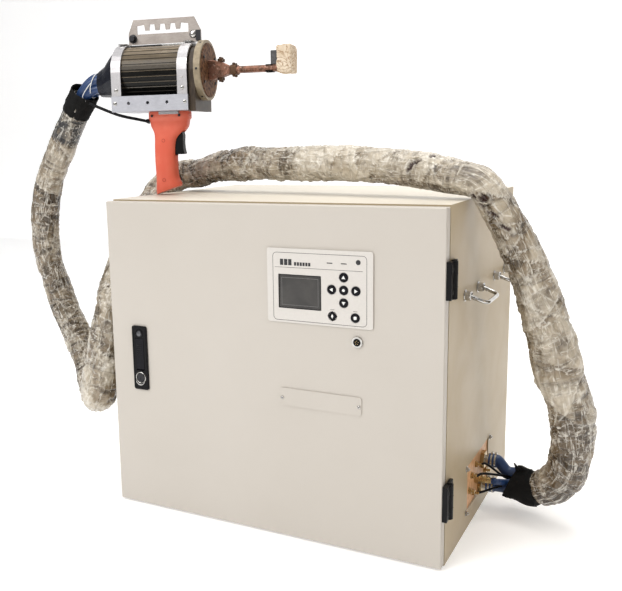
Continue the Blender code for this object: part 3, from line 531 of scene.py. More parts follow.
class Shape:
    """Gathers plain solids into one mesh."""

    def __init__(self, gun=False):
        self.verts, self.faces, self.gun = [], [], gun

    def add(self, verts, faces):
        first = len(self.verts)
        self.verts += [Vector(v) for v in verts]
        self.faces += [tuple(first + k for k in face) for face in faces]
        return self

    def rings(self, loops, closed=False):
        """Skins loops of equally many points, with end caps unless it closes on itself."""
        count, total = len(loops[0]), len(loops)
        faces = []
        for r in range(total if closed else total - 1):
            one, two = r * count, (r + 1) % total * count
            for k in range(count):
                n = (k + 1) % count
                faces.append((one + k, one + n, two + n, two + k))
        if not closed:
            faces += [tuple(range(count))[::-1], tuple((total - 1) * count + k for k in range(count))]
        return self.add([p for loop in loops for p in loop], faces)

    def lathe(self, profile, origin, axis, sides=24):
        """Turned from (radius, along) points; the ends are capped. A zero radius is made tiny."""
        e1, e2, along = basis(axis)
        return self.rings([[Vector(origin) + along * h
                            + (e1 * cos(2 * pi * k / sides) + e2 * sin(2 * pi * k / sides)) * max(r, 1e-5)
                            for k in range(sides)] for r, h in profile])

    def hoop(self, profile, origin, axis, sides=32):
        """A ring turned from a closed loop of (radius, along) points."""
        e1, e2, along = basis(axis)
        outward = [e1 * cos(2 * pi * k / sides) + e2 * sin(2 * pi * k / sides) for k in range(sides)]
        return self.rings([[Vector(origin) + out * r + along * h for r, h in profile]
                           for out in outward], closed=True)

    def slab(self, outline, origin, right, up, depth):
        """A flat outline in the (right, up) plane at origin, thickened by depth along their normal."""
        right, up = Vector(right).normalized(), Vector(up).normalized()
        low = [Vector(origin) + right * u + up * v for u, v in outline]
        return self.rings([low, [p + right.cross(up) * depth for p in low]])

    def block(self, low, high):
        (x0, y0, z0), (x1, y1, z1) = low, high
        return self.slab([(x0, y0), (x1, y0), (x1, y1), (x0, y1)], (0, 0, z0), RIGHT, BACK, z1 - z0)

    def tube(self, points, radius, sides=12):
        """A round bar along points; radius is one number or one per point."""
        points = [Vector(p) for p in points]
        radii = radius if hasattr(radius, "__len__") else [radius] * len(points)
        return self.rings([[p + (x * cos(2 * pi * k / sides) + y * sin(2 * pi * k / sides)) * r
                            for k in range(sides)] for p, (x, y), r in zip(points, carried(points), radii)])

    def piece(self, name, paint, body, bevel=0.0, angle=35, subdivide=0, instead=None):
        """The finished object: it rides on body, and stands for the CAD node named by instead."""
        verts = [GUN @ v for v in self.verts] if self.gun else self.verts
        thing = made(name, verts, self.faces, paint, angle)
        if bevel:
            soften(thing, bevel)
        if subdivide:
            smooth = thing.modifiers.new("smooth", 'SUBSURF')
            smooth.levels = smooth.render_levels = subdivide
        if body:
            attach(thing, body)
        if instead:
            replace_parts(thing, instead)
        return thing


def hex_nut(shape, origin, axis, across, height):
    e1, e2, _ = basis(axis)
    return shape.slab([around(across / 3 ** 0.5, 60 * k) for k in range(6)], origin, e1, e2, height)


def dome(shape, origin, axis, radius, height, sides=20):
    """A round-headed screw: a low dome with a flat rim."""
    profile = [(radius, -0.0004), (radius, height * 0.25)]
    profile += [(radius * cos(radians(t)), height * (0.25 + 0.75 * sin(radians(t))))
                for t in (25, 45, 65, 80)]
    return shape.lathe(profile + [(0, height)], origin, axis, sides)


def cross_slot(shape, origin, axis, size):
    """The dark cross of a screw's recess, laid just proud of its head."""
    e1, e2, _ = basis(axis)
    w, h = size, size * 0.16
    for u, v in ((w, h), (h, w)):
        shape.slab([(-u, -v), (u, -v), (u, v), (-u, v)], origin, e1, e2, 0.00025)
    return shape


def frame_line(shape, outer, inner, y, thick):
    """A flat printed or raised line between two outlines, facing -Y."""
    return shape.rings([[(ox, y, oz), (ix, y, iz), (ix, y + thick, iz), (ox, y + thick, oz)]
                        for (ox, oz), (ix, iz) in zip(outer, inner)], closed=True)


# ---- cabinet and door --------------------------------------------------------------------
def dress_nodes():
    """A finish for every CAD node that stays in view, and softer edges for the larger ones."""
    finish = {
        "beige_painted_shade": "cabinet_shell back_cover",
        "sheet": "mounting_plate lock_cam",
        "sink": "inverter_heat_sink",
        "can": "capacitor_bank",
        "core": "output_transformer",
        "board": "control_board",
        "phenolic": "connector_plate",
        "chrome": "power_fitting_upper power_fitting_lower panel_socket",
        "brass": "water_coupling",
        "black": ("hinge_leaf_upper hinge_leaf_lower hinge_knuckle_upper hinge_knuckle_lower "
                  "lock_housing gun_trigger"),
        "beige": "door_panel blank_plate",
        "keypad": "hmi_panel",
        "screen": "hmi_screen",
        "gloss": "lock_lever",
        "gunmetal": "lock_button lock_cylinder",
        "barrel": "gun_barrel",
        "boot": "gun_boot",
        "rail": "gun_cradle",
        "strap": "gun_strap_front gun_strap_rear",
        "hanger": "gun_hanger",
        "dark_board": "gun_front_block",
        "ring": "gun_clamp_ring",
        "disc": "gun_front_disc",
        "copper": "gun_terminal_near gun_terminal_far inductor_leads",
        "ferrite": "ferrite_core"}
    finish = {name: paint for paint, names in finish.items() for name in names.split()}
    for name, node in NODES.items():
        paint = finish.get(name, {"key": "gloss", "handle": "chrome"}.get(name.split("_")[0]))
        if paint:
            node.data.materials.clear()
            node.data.materials.append(PAINTS[paint])
    for width, names in (
            (0.0004, "blank_plate gun_cradle gun_hanger gun_strap_front gun_strap_rear"),
            (0.0005, "connector_plate"), (0.0006, "lock_lever hmi_panel gun_front_block"),
            (0.0007, "lock_housing gun_clamp_ring"), (0.0009, "cabinet_shell")):
        for name in names.split():
            soften(NODES[name], width)


def door_details():
    """Screws on the blank plate, and the socket's insert, pins and knurled collar, that ride with the door."""
    heads, slots = Shape(), Shape()
    for x, z in ((0.0415, 0.262), (0.1836, 0.2634)):
        dome(heads, (x, DOOR_FRONT - 0.0018, z), FRONT, 0.0034, 0.0021)
        cross_slot(slots, (x, DOOR_FRONT - 0.0038, z), FRONT, 0.0017)
    heads.piece("blank_plate_screws", "chrome", "door")
    slots.piece("blank_plate_slots", "ink", "door")

    x, z = 0.1806, 0.3743
    insert = Shape().lathe([(0.007, 0), (0.007, 0.0005), (0.0062, 0.0009), (0, 0.0009)],
                           (x, DOOR_FRONT - 0.0027, z), FRONT)
    insert.hoop([(0.0052, 0.0007), (0.0052, 0.0012), (0.0057, 0.0012), (0.0057, 0.0007)],
                (x, DOOR_FRONT - 0.0027, z), FRONT, 24)
    insert.piece("socket_insert", "black", "door")
    pins = Shape()
    for k in range(5):
        turn = radians(90 + 72 * k)
        pins.lathe([(0.0006, 0), (0.0006, 0.0012), (0, 0.0015)],
                   (x + 0.0028 * cos(turn), DOOR_FRONT - 0.0033, z + 0.0028 * sin(turn)), FRONT, 10)
    pins.piece("socket_pins", "brass", "door")
    collar = Shape()
    for k in range(28):
        turn = 2 * pi * k / 28
        collar.block((x + 0.009 * cos(turn) - 0.0005, DOOR_FRONT - 0.0031, z + 0.009 * sin(turn) - 0.0005),
                     (x + 0.009 * cos(turn) + 0.0005, DOOR_FRONT - 0.0006, z + 0.009 * sin(turn) + 0.0005))
    collar.piece("socket_knurl", "chrome", "door")


def keypad_details():
    """Printed border and rules, display frame, key rings and the keys' symbols."""
    y = PANEL_FACE - 0.00012
    ink = Shape()
    frame_line(ink, rounded(0.0281, 0.198, 0.401, 0.518, 0.007),
               rounded(0.0288, 0.1973, 0.4017, 0.5173, 0.0063), y, 0.0002)
    ink.block((0.032, y, 0.4923), (0.191, y + 0.0002, 0.4929))
    for k in range(3):          # a title's place, kept as plain blocks
        ink.block((0.042 + 0.0077 * k, y, 0.4962), (0.0482 + 0.0077 * k, y + 0.0002, 0.5068))
    for k in range(6):
        ink.block((0.0683 + 0.0052 * k, y, 0.4962), (0.0723 + 0.0052 * k, y + 0.0002, 0.5022))
    for middle in (0.133, 0.158):
        ink.block((middle - 0.005, y, 0.5028), (middle + 0.005, y + 0.0002, 0.5044))
    ink.lathe([(0.0042, 0), (0.0042, 0.0002)], (0.183, y + 0.0002, 0.507), FRONT)
    for x, z in (KEY_PLACES["key_start"], KEY_PLACES["key_stop"]):
        ink.block((x - 0.0035, y, z + 0.0105), (x + 0.0035, y + 0.0002, z + 0.0112))
    ink.piece("keypad_ink", "ink", "door")

    bezel = Shape()
    frame_line(bezel, rounded(0.0385, 0.1173, 0.4224, 0.4808, 0.0012, 3),
               rounded(0.0396, 0.1162, 0.4235, 0.4797, 0.0006, 3), PANEL_FACE - 0.0004, 0.0006)
    bezel.piece("screen_frame", "black", "door")
    active = Shape()
    frame_line(active, rounded(0.044, 0.1118, 0.4279, 0.4753, 0.0004, 2),
               rounded(0.0446, 0.1112, 0.4285, 0.4747, 0.0002, 2), PANEL_FACE + 0.00072, 0.0002)
    active.piece("screen_edge", "screen_line", "door")

    rings = Shape()
    for x, z in [place for name, place in KEY_PLACES.items() if name != "key_start"]:
        rings.hoop([(0.0082, 0), (0.0082, 0.0004), (0.0089, 0.0004), (0.0089, 0)],
                   (x, PANEL_FACE + 0.0001, z), FRONT, 36)
    rings.piece("key_rings", "ring_grey", "door")

    size = 0.0034
    arrow = [(0, size), (-size * 0.95, -size * 0.65), (size * 0.95, -size * 0.65)]
    turns = {"key_up": 0, "key_left": 90, "key_down": 180, "key_right": 270}
    for name, (x, z) in KEY_PLACES.items():
        mark, face = Shape(), (x, PANEL_FACE - 0.00095, z)
        if name in turns:
            c, s = cos(radians(turns[name])), sin(radians(turns[name]))
            outline = [(u * c - v * s, u * s + v * c) for u, v in arrow]
        elif name == "key_enter":
            outline = [around(0.0024, 18 * k) for k in range(20)]
        elif name == "key_start":
            outline = [(0, 0.004), (-0.0019, 0.0), (0, -0.004), (0.0019, 0.0)]
        else:
            outline = rounded(-0.0026, 0.0026, -0.0026, 0.0026, 0.0012, 3)
        mark.slab(outline, face, RIGHT, UP, 0.00018)
        if name == "key_start":
            cap = Shape().slab([(0, -0.0088), (0.0088, 0), (0, 0.0088), (-0.0088, 0)],
                               (x, PANEL_FACE + 0.0003, z), RIGHT, UP, 0.0012)
            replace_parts(cap.piece("start_diamond", "gloss", name, bevel=0.0004), name)
        mark.piece(f"{name}_mark", "white_ink", name)


def lock_details():
    """Bezel step, grip ribs, button ring, key escutcheon and its swing cover."""
    x, front = -0.26, DOOR_FRONT - 0.0035
    button_z, cylinder_z = 0.3485, 0.262
    trim = Shape()
    frame_line(trim, rounded(x - 0.015, x + 0.015, 0.24, 0.3615, 0.0032),
               rounded(x - 0.0138, x + 0.0138, 0.2412, 0.3603, 0.0022), front - 0.0006, 0.0008)
    trim.hoop([(0.0074, 0), (0.0074, 0.0009), (0.0088, 0.0007), (0.0088, 0)],
              (x, front + 0.0002, button_z), FRONT, 28)
    trim.piece("lock_trim", "black", "door")
    plate = Shape()
    plate.hoop([(0.0097, 0), (0.0097, 0.0012), (0.0104, 0.0016), (0.0113, 0.0012), (0.0117, 0)],
               (x, front + 0.0001, cylinder_z), FRONT, 40)
    flap = [around(0.0104, t) for t in range(190, 351, 16)]
    flap += [(0.0075 * cos(radians(t)), -0.004 + 0.0045 * sin(radians(t))) for t in range(330, 209, -20)]
    plate.slab(flap, (x + 0.0002, front - 0.0019, cylinder_z - 0.0042), RIGHT, UP, 0.0014)
    plate.piece("key_escutcheon", "chrome", "door", bevel=0.0002)
    core = Shape().lathe([(0.0056, 0), (0.0056, 0.0004), (0.005, 0.0006), (0, 0.0006)],
                         (x, front - 0.0006, cylinder_z), FRONT, 32)
    core.slab([(-0.0004, -0.003), (0.0004, -0.003), (0.0004, 0.003), (-0.0004, 0.003)],
              (x, front - 0.0011, cylinder_z), RIGHT, UP, 0.0004)
    core.piece("key_core", "gunmetal", "lock_cylinder")
    ribs = Shape()
    for k in range(5):
        z = 0.325 - 0.0042 * k
        ribs.block((x - 0.006, front - 0.00065, z), (x + 0.006, front + 0.0002, z + 0.0016))
    ribs.piece("lever_ribs", "black", "lock_lever", bevel=0.0003)
    cap = Shape().lathe([(0.005, 0), (0.0046, 0.0006), (0.003, 0.001), (0, 0.0011)],
                        (x, front - 0.0011, button_z), FRONT, 28)
    cap.piece("button_cap", "grey_button", "lock_button")


def hinge_details():
    """Knuckle joints, pin heads and leaf screws."""
    axis_x, axis_y, radius, half = 0.332, -0.2285, 0.0062, 0.03
    for name, z in (("upper", 0.484), ("lower", 0.117)):
        door = Shape()
        for dz in (-0.0105, 0.0105):
            door.hoop([(radius - 0.0003, -0.0007), (radius + 0.00035, -0.0004),
                       (radius + 0.00035, 0.0004), (radius - 0.0003, 0.0007)],
                      (axis_x, axis_y, z + dz), UP, 24)
        dome(door, (axis_x, axis_y, z + half), UP, 0.0048, 0.0022)
        dome(door, (axis_x, axis_y, z - half), DOWN, 0.0048, 0.0016)
        door.slab(rounded(-0.0085, 0.0085, -0.027, 0.027, 0.002, 3),
                  (0.3331, -0.2405, z), BACK, UP, 0.0008)
        door.piece(f"hinge_trim_{name}", "black", "door", bevel=0.0002)
        for body, y, face in (("door", -0.2405, 0.3338), ("cabinet", -0.213, 0.3313)):
            heads, slots = Shape(), Shape()
            for dz in (-0.018, 0.018):
                dome(heads, (face, y, z + dz), RIGHT, 0.0031, 0.001)
                cross_slot(slots, (face + 0.0009, y, z + dz), RIGHT, 0.0016)
            heads.piece(f"hinge_screws_{body}_{name}", "gunmetal", body)
            slots.piece(f"hinge_slots_{body}_{name}", "ink", body)


def side_details():
    """Handle flanges and ferrules, gasket, back screws."""
    sag = Matrix.Rotation(radians(20), 4, 'Y')
    for name, middle in (("front", -0.085), ("rear", 0.135)):
        flange, ferrule = Shape(), Shape()
        for y in (middle - 0.045, middle + 0.045):
            hinge = Vector((HALF_W + 0.0075, y, 0.441))
            flange.lathe([(0.0098, 0), (0.0098, 0.0007), (0.009, 0.0013), (0.007, 0.0013)],
                         (HALF_W + 0.0003, y, 0.441), RIGHT, 36)
            flange.lathe([(0.0022, -0.0084), (0.0027, -0.008), (0.0027, 0.008), (0.0022, 0.0084)],
                         hinge, BACK, 20)
            ferrule.lathe([(0.0036, 0.0068), (0.0041, 0.0072), (0.0041, 0.0086), (0.0037, 0.009),
                           (0.0041, 0.0094), (0.0041, 0.0108), (0.0036, 0.0112)],
                          hinge, sag @ Vector(RIGHT), 20)
        flange.piece(f"handle_flanges_{name}", "chrome", "cabinet")
        ferrule.piece(f"handle_ferrules_{name}", "chrome", f"bail_{name}")
        corners = [(0.0, 0.045), (0.009, 0.045), (0.0165, 0.0448), (0.0238, 0.043), (0.0286, 0.0385),
                   (0.0308, 0.031), (0.031, 0.02), (0.031, 0.0)]
        half = smooth_route([(x, y, 0) for x, y in corners], 6)
        route = half + [Vector((p.x, -p.y, 0)) for p in reversed(half[:-1])]
        pivot = Vector((HALF_W + 0.0075, middle, 0.441))
        bail = Shape().tube([sag @ p + pivot for p in route], 0.0034, 20)
        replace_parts(bail.piece(f"bail_rod_{name}", "chrome", f"bail_{name}"),
                    f"handle_bail_{name}")

    gasket = Shape()
    outer = rounded(-0.316, 0.316, 0.01, 0.59, 0.004, 3)
    inner = rounded(-0.306, 0.306, 0.02, 0.58, 0.002, 3)
    frame_line(gasket, outer, inner, -0.2298, 0.0026)
    gasket.piece("door_gasket", "foam", "cabinet")

    heads, slots = Shape(), Shape()
    for x in (-0.3, -0.1, 0.1, 0.3):
        for z in (0.022, 0.3, 0.578):
            if abs(x) > 0.2 or z != 0.3:
                dome(heads, (x, 0.25, z), BACK, 0.0042, 0.0024)
                cross_slot(slots, (x, 0.2523, z), BACK, 0.002)
    heads.piece("back_screws", "chrome", "cabinet")
    slots.piece("back_slots", "ink", "cabinet")


def connector_details():
    """Bolts round the cut-out, nuts and hose clips on the fittings, studs on the plate."""
    bolts = Shape()
    for y in (-0.0895, 0.0895):
        for z in (0.034, 0.118):
            bolts.lathe([(0.0056, 0), (0.0056, 0.001)], (HALF_W, y, z), RIGHT, 24)
            hex_nut(bolts, (HALF_W + 0.0009, y, z), RIGHT, 0.0072, 0.0034)
            bolts.lathe([(0.0018, 0), (0.0018, 0.0062), (0.0014, 0.0066)], (HALF_W, y, z), RIGHT, 14)
    bolts.piece("plate_bolts", "chrome", "cabinet", bevel=0.0003)

    face = PLATE_FACE
    nuts, clips = Shape(), Shape()
    for y, z in ((0.04, 0.09), (0.022, 0.048)):
        hex_nut(nuts, (face, y, z), RIGHT, 0.03, 0.007)
        hex_nut(nuts, (face + 0.012, y, z), RIGHT, 0.0225, 0.006)
        for dx in (0.0175, 0.0245):
            clips.hoop([(0.013, 0), (0.0142, 0), (0.0142, 0.0034), (0.013, 0.0034)],
                       (HALF_W + dx - 0.002, y, z), RIGHT, 28)
            clips.block((HALF_W + dx - 0.0022, y - 0.003, z + 0.0134),
                        (HALF_W + dx + 0.0016, y + 0.003, z + 0.0168))
    nuts.piece("fitting_nuts", "brass", "cabinet", bevel=0.0004)
    clips.piece("hose_clips", "chrome", "cabinet", bevel=0.0002)

    studs = Shape()
    for y, z, reach in ((-0.042, 0.088, 0.01), (-0.01, 0.098, 0.013), (0.062, 0.06, 0.012),
                        (-0.03, 0.05, 0.012), (-0.058, 0.064, 0.01)):
        studs.lathe([(0.0066, 0), (0.0066, 0.0012)], (face, y, z), RIGHT, 24)
        hex_nut(studs, (face + 0.001, y, z), RIGHT, 0.0095, 0.0042)
        studs.lathe([(0.0026, 0), (0.0026, reach), (0.0021, reach + 0.0006)], (face, y, z), RIGHT, 16)
    studs.piece("plate_studs", "brass", "cabinet", bevel=0.0002)

    wires = Shape()
    for start, end, rise in (((-0.01, 0.098), (0.034, 0.062), 0.012), ((-0.03, 0.05), (0.012, 0.05), 0.01),
                             ((-0.042, 0.088), (0.026, 0.067), 0.016)):
        route = smooth_route([(face + 0.01, *start), (face + 0.02, start[0] * 0.7, start[1] + 0.002),
                              (face + 0.034 + rise, end[0] * 0.8, end[1] + 0.004), (0.386, *end)], 8)
        wires.tube(route, 0.0022, 10)
    wires.piece("sensor_wires", "black", "cabinet")
    coupling = Shape()
    coupling.lathe([(0.0066, 0.0335), (0.007, 0.0345), (0.007, 0.037), (0.0058, 0.037)],
                   (face, -0.01, 0.07), RIGHT, 20)
    coupling.tube(smooth_route([(face + 0.03, -0.01, 0.07), (face + 0.042, -0.009, 0.07),
                                (0.374, 0.004, 0.066), (0.39, 0.014, 0.064)], 6), 0.0056, 14)
    coupling.piece("return_hose", "blue_rubber", "cabinet")


def inside_details():
    """Wiring, terminals and board parts seen when the door is open."""
    parts, caps = Shape(), Shape()
    for k in range(9):
        z = 0.345 + 0.02 * k
        parts.block((0.04, 0.178, z), (0.062, 0.1899, z + 0.014))
    for x, z in ((0.11, 0.48), (0.15, 0.43), (0.205, 0.47), (0.18, 0.38)):
        parts.block((x - 0.013, 0.1862, z - 0.013), (x + 0.013, 0.1899, z + 0.013))
    parts.piece("board_parts", "black", "cabinet", bevel=0.0006)
    for x, z in ((0.1, 0.38), (0.124, 0.38), (0.24, 0.5), (0.24, 0.47), (0.236, 0.36)):
        caps.lathe([(0.0085, 0), (0.0085, 0.02), (0.0078, 0.021), (0, 0.021)],
                   (x, 0.1899, z), FRONT, 24)
    caps.piece("board_capacitors", "can", "cabinet")
    studs = Shape()
    for x in (-0.21, -0.09):
        for z in (0.125, 0.225):
            for dx in (-0.014, 0.014):
                studs.lathe([(0.0045, 0), (0.0045, 0.008)], (x + dx, 0.09, z), FRONT, 16)
    studs.block((-0.23, 0.0812, 0.12), (-0.07, 0.0836, 0.13))
    studs.block((-0.23, 0.0812, 0.22), (-0.07, 0.0836, 0.23))
    studs.piece("capacitor_bars", "copper", "cabinet", bevel=0.0004)
    for k, (name, paint) in enumerate((("red", "wire_red"), ("blue", "wire_blue"), ("black", "black"))):
        loom = Shape()
        for m in range(3):
            x, z = 0.05, 0.352 + 0.02 * (3 * m + k)
            loom.tube(smooth_route([(x, 0.179, z), (x - 0.02, 0.16, z + 0.004),
                                    (0.0 - 0.006 * m, 0.15 - 0.008 * k, z - 0.03),
                                    (-0.008 - 0.005 * m, 0.15, 0.33),
                                    (-0.012, 0.13 + 0.006 * k, 0.3 - 0.01 * m),
                                    (0.06, 0.11, 0.22 + 0.01 * k), (0.11 + 0.02 * m, 0.1, 0.124)], 8),
                      0.0022, 8)
        loom.piece(f"loom_{name}", paint, "cabinet")


# ---- gun ---------------------------------------------------------------------------------
def gun_fasteners():
    """Screws on straps and rails, hanger bolts and ears, clamp-ring screws."""
    bright, dark, slots = Shape(gun=True), Shape(gun=True), Shape(gun=True)
    for side in (-1, 1):
        out = (0, side, 0)
        for a, c, radius in ((-0.087, 0.206, 0.0042), (0.05, 0.207, 0.0038),
                             (0.05, 0.2265, 0.0018)):
            dome(bright, (a, side * 0.0546, c), out, radius, 0.0018)
            if radius > 0.002:
                cross_slot(slots, (a, side * 0.0563, c), out, 0.0018)
        for a, radius in ((-0.0905, 0.0042), (0.0545, 0.0036)):
            dome(bright, (a, side * 0.0553, 0.181), out, radius, 0.0014)
            cross_slot(slots, (a, side * 0.0566, 0.181), out, 0.0019)
        dome(bright, (0.058, side * 0.0015, 0.311), out, 0.0074, 0.004)
        dark.lathe([(0.0078, 0), (0.0078, 0.0012)], (0.058, side * 0.0015, 0.311), out, 28)
        dark.lathe([(0.0085, 0), (0.0085, 0.0016), (0.0062, 0.0018), (0.0062, 0.007), (0.0052, 0.008)],
                   (-0.069, side * 0.0015, 0.308), out, 24)
    for a0, a1 in ((-0.0955, -0.079), (0.0415, 0.0585)):
        for side in (-1, 1):
            near, far = sorted((side * 0.0018, side * 0.015))
            bright.block((a0, near, 0.2955), (a1, far, 0.298))
    bright.block((-0.005, -0.006, 0.2912), (0.038, 0.006, 0.2944))
    dark.block((0.064, -0.006, 0.2985), (0.0735, -0.0018, 0.318))
    dark.block((-0.075, -0.005, 0.2925), (-0.008, 0.005, 0.2948))
    bright.piece("gun_screws", "chrome", "gun", bevel=0.0002)
    slots.piece("gun_slots", "ink", "gun")
    dark.piece("hanger_washers", "gunmetal", "gun", bevel=0.0003)

    ring = Shape(gun=True)
    for turn in (180, 0, 62, 118, -62, -118):
        out = Vector((0, cos(radians(turn)), sin(radians(turn))))
        ring.lathe([(0.0024, -0.001), (0.0024, 0.0003), (0.0018, 0.0006)],
                   Vector((0.0805, 0, AXIS_C)) + out * 0.0573, out, 18)
    for turn in (35, 145, 215, 325):
        ring.lathe([(0.003, -0.001), (0.003, 0.0014), (0.0022, 0.002)],
                   (0.0885, 0.04 * cos(radians(turn)), AXIS_C + 0.04 * sin(radians(turn))), RIGHT, 18)
    ring.piece("ring_screws", "gunmetal", "gun")


def gun_nose():
    """Terminal bolts, lead clamp, braid, brazed joints and the cast block."""
    nuts = Shape(gun=True)
    for a, c, sign in ((0.113, 0.257, 1), (0.112, 0.2255, -1)):
        for b in (-0.0062, 0.0062):
            hex_nut(nuts, (a, b, c - 0.0008 * sign), (0, 0, sign), 0.01, 0.0052)
            nuts.lathe([(0.0028, 0), (0.0028, 0.0072), (0.0022, 0.0078)], (a, b, c), (0, 0, sign), 14)
    nuts.piece("terminal_nuts", "bronze", "gun", bevel=0.0005)

    clamp = Shape(gun=True)
    clamp.slab(rounded(-0.0125, 0.0125, -0.0095, 0.0095, 0.004), (0.134, 0, LEAD_C), BACK, UP, 0.012)
    for b in (-0.0075, 0.0075):
        for c, way in ((0.2482, UP), (0.2308, DOWN)):
            clamp.lathe([(0.003, 0), (0.003, 0.004), (0.0024, 0.0046)], (0.14, b, c), way, 14)
    clamp.piece("lead_clamp", "bronze", "gun", bevel=0.0008)

    weld = Shape(gun=True)
    for k in range(9):
        turn = 2 * pi * k / 9
        weld.lathe([(0.002, -0.0012), (0.0034, 0), (0.0026, 0.0014), (0, 0.002)],
                   (0.1478, 0.0088 * cos(turn), LEAD_C + 0.0062 * sin(turn)), (0.3, cos(turn), sin(turn)), 10)
    weld.piece("brazed_bead", "copper", "gun", subdivide=1)

    braid = Shape(gun=True)
    for k in range(7):
        a = 0.2035 + 0.0021 * k
        braid.rings([[Vector((a + da, b * grow, LEAD_C + c * grow))
                      for b, c in rounded(-0.0106, 0.0106, -0.0074, 0.0074, 0.004)]
                     for da, grow in ((0.0, 0.93), (0.0005, 1.02), (0.0014, 1.02), (0.0019, 0.93))])
    braid.piece("lead_insulation", "cloth", "gun")

    bars = Shape(gun=True)
    for side in (-1, 1):
        route = [(0.144, side * 0.0072, LEAD_C), (0.16, side * 0.007, 0.2402),
                 (0.19, side * 0.007, 0.24), (0.227, side * 0.0072, 0.2396)]
        bars.tube(smooth_route(route, 5), 0.0052, 14)
    bars.piece("water_tubes", "copper", "gun")

    rng = np.random.default_rng(7)
    low, high = np.array((0.229, -0.027, 0.229)), np.array((0.258, 0.027, 0.28))
    bm = bmesh.new()
    bmesh.ops.create_cube(bm, size=1)
    bmesh.ops.subdivide_edges(bm, edges=bm.edges[:], cuts=15, use_grid_fill=True)
    bm.verts.index_update()
    middle, half, shift = (low + high) / 2, (high - low) / 2, Vector(rng.uniform(3, 9, 3))
    for v in bm.verts:
        u = Vector([round(2 * x, 6) for x in v.co])
        corner = sum(abs(x) > 0.999 for x in u)
        p = Vector([middle[k] + half[k] * u[k] * (1 - 0.03 * (corner - 1)) for k in range(3)])
        rough = noise.fractal(p * 95 + shift, 0.8, 2.0, 4) * 0.0016 - 0.0004
        dent = 0.0035 * max(0.0, 1 - ((p - Vector((0.258, -0.006, 0.258))).length / 0.009)) ** 0.5
        outward = Vector([round(x) if abs(x) > 0.999 else 0 for x in u]).normalized()
        v.co = GUN @ (p + outward * (rough - dent))
    block = made("cast_block", [v.co.copy() for v in bm.verts], [[v.index for v in f.verts] for f in bm.faces],
                 "ceramic", 50)
    bm.free()
    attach(block, "gun")
    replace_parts(block, "ceramic_block")


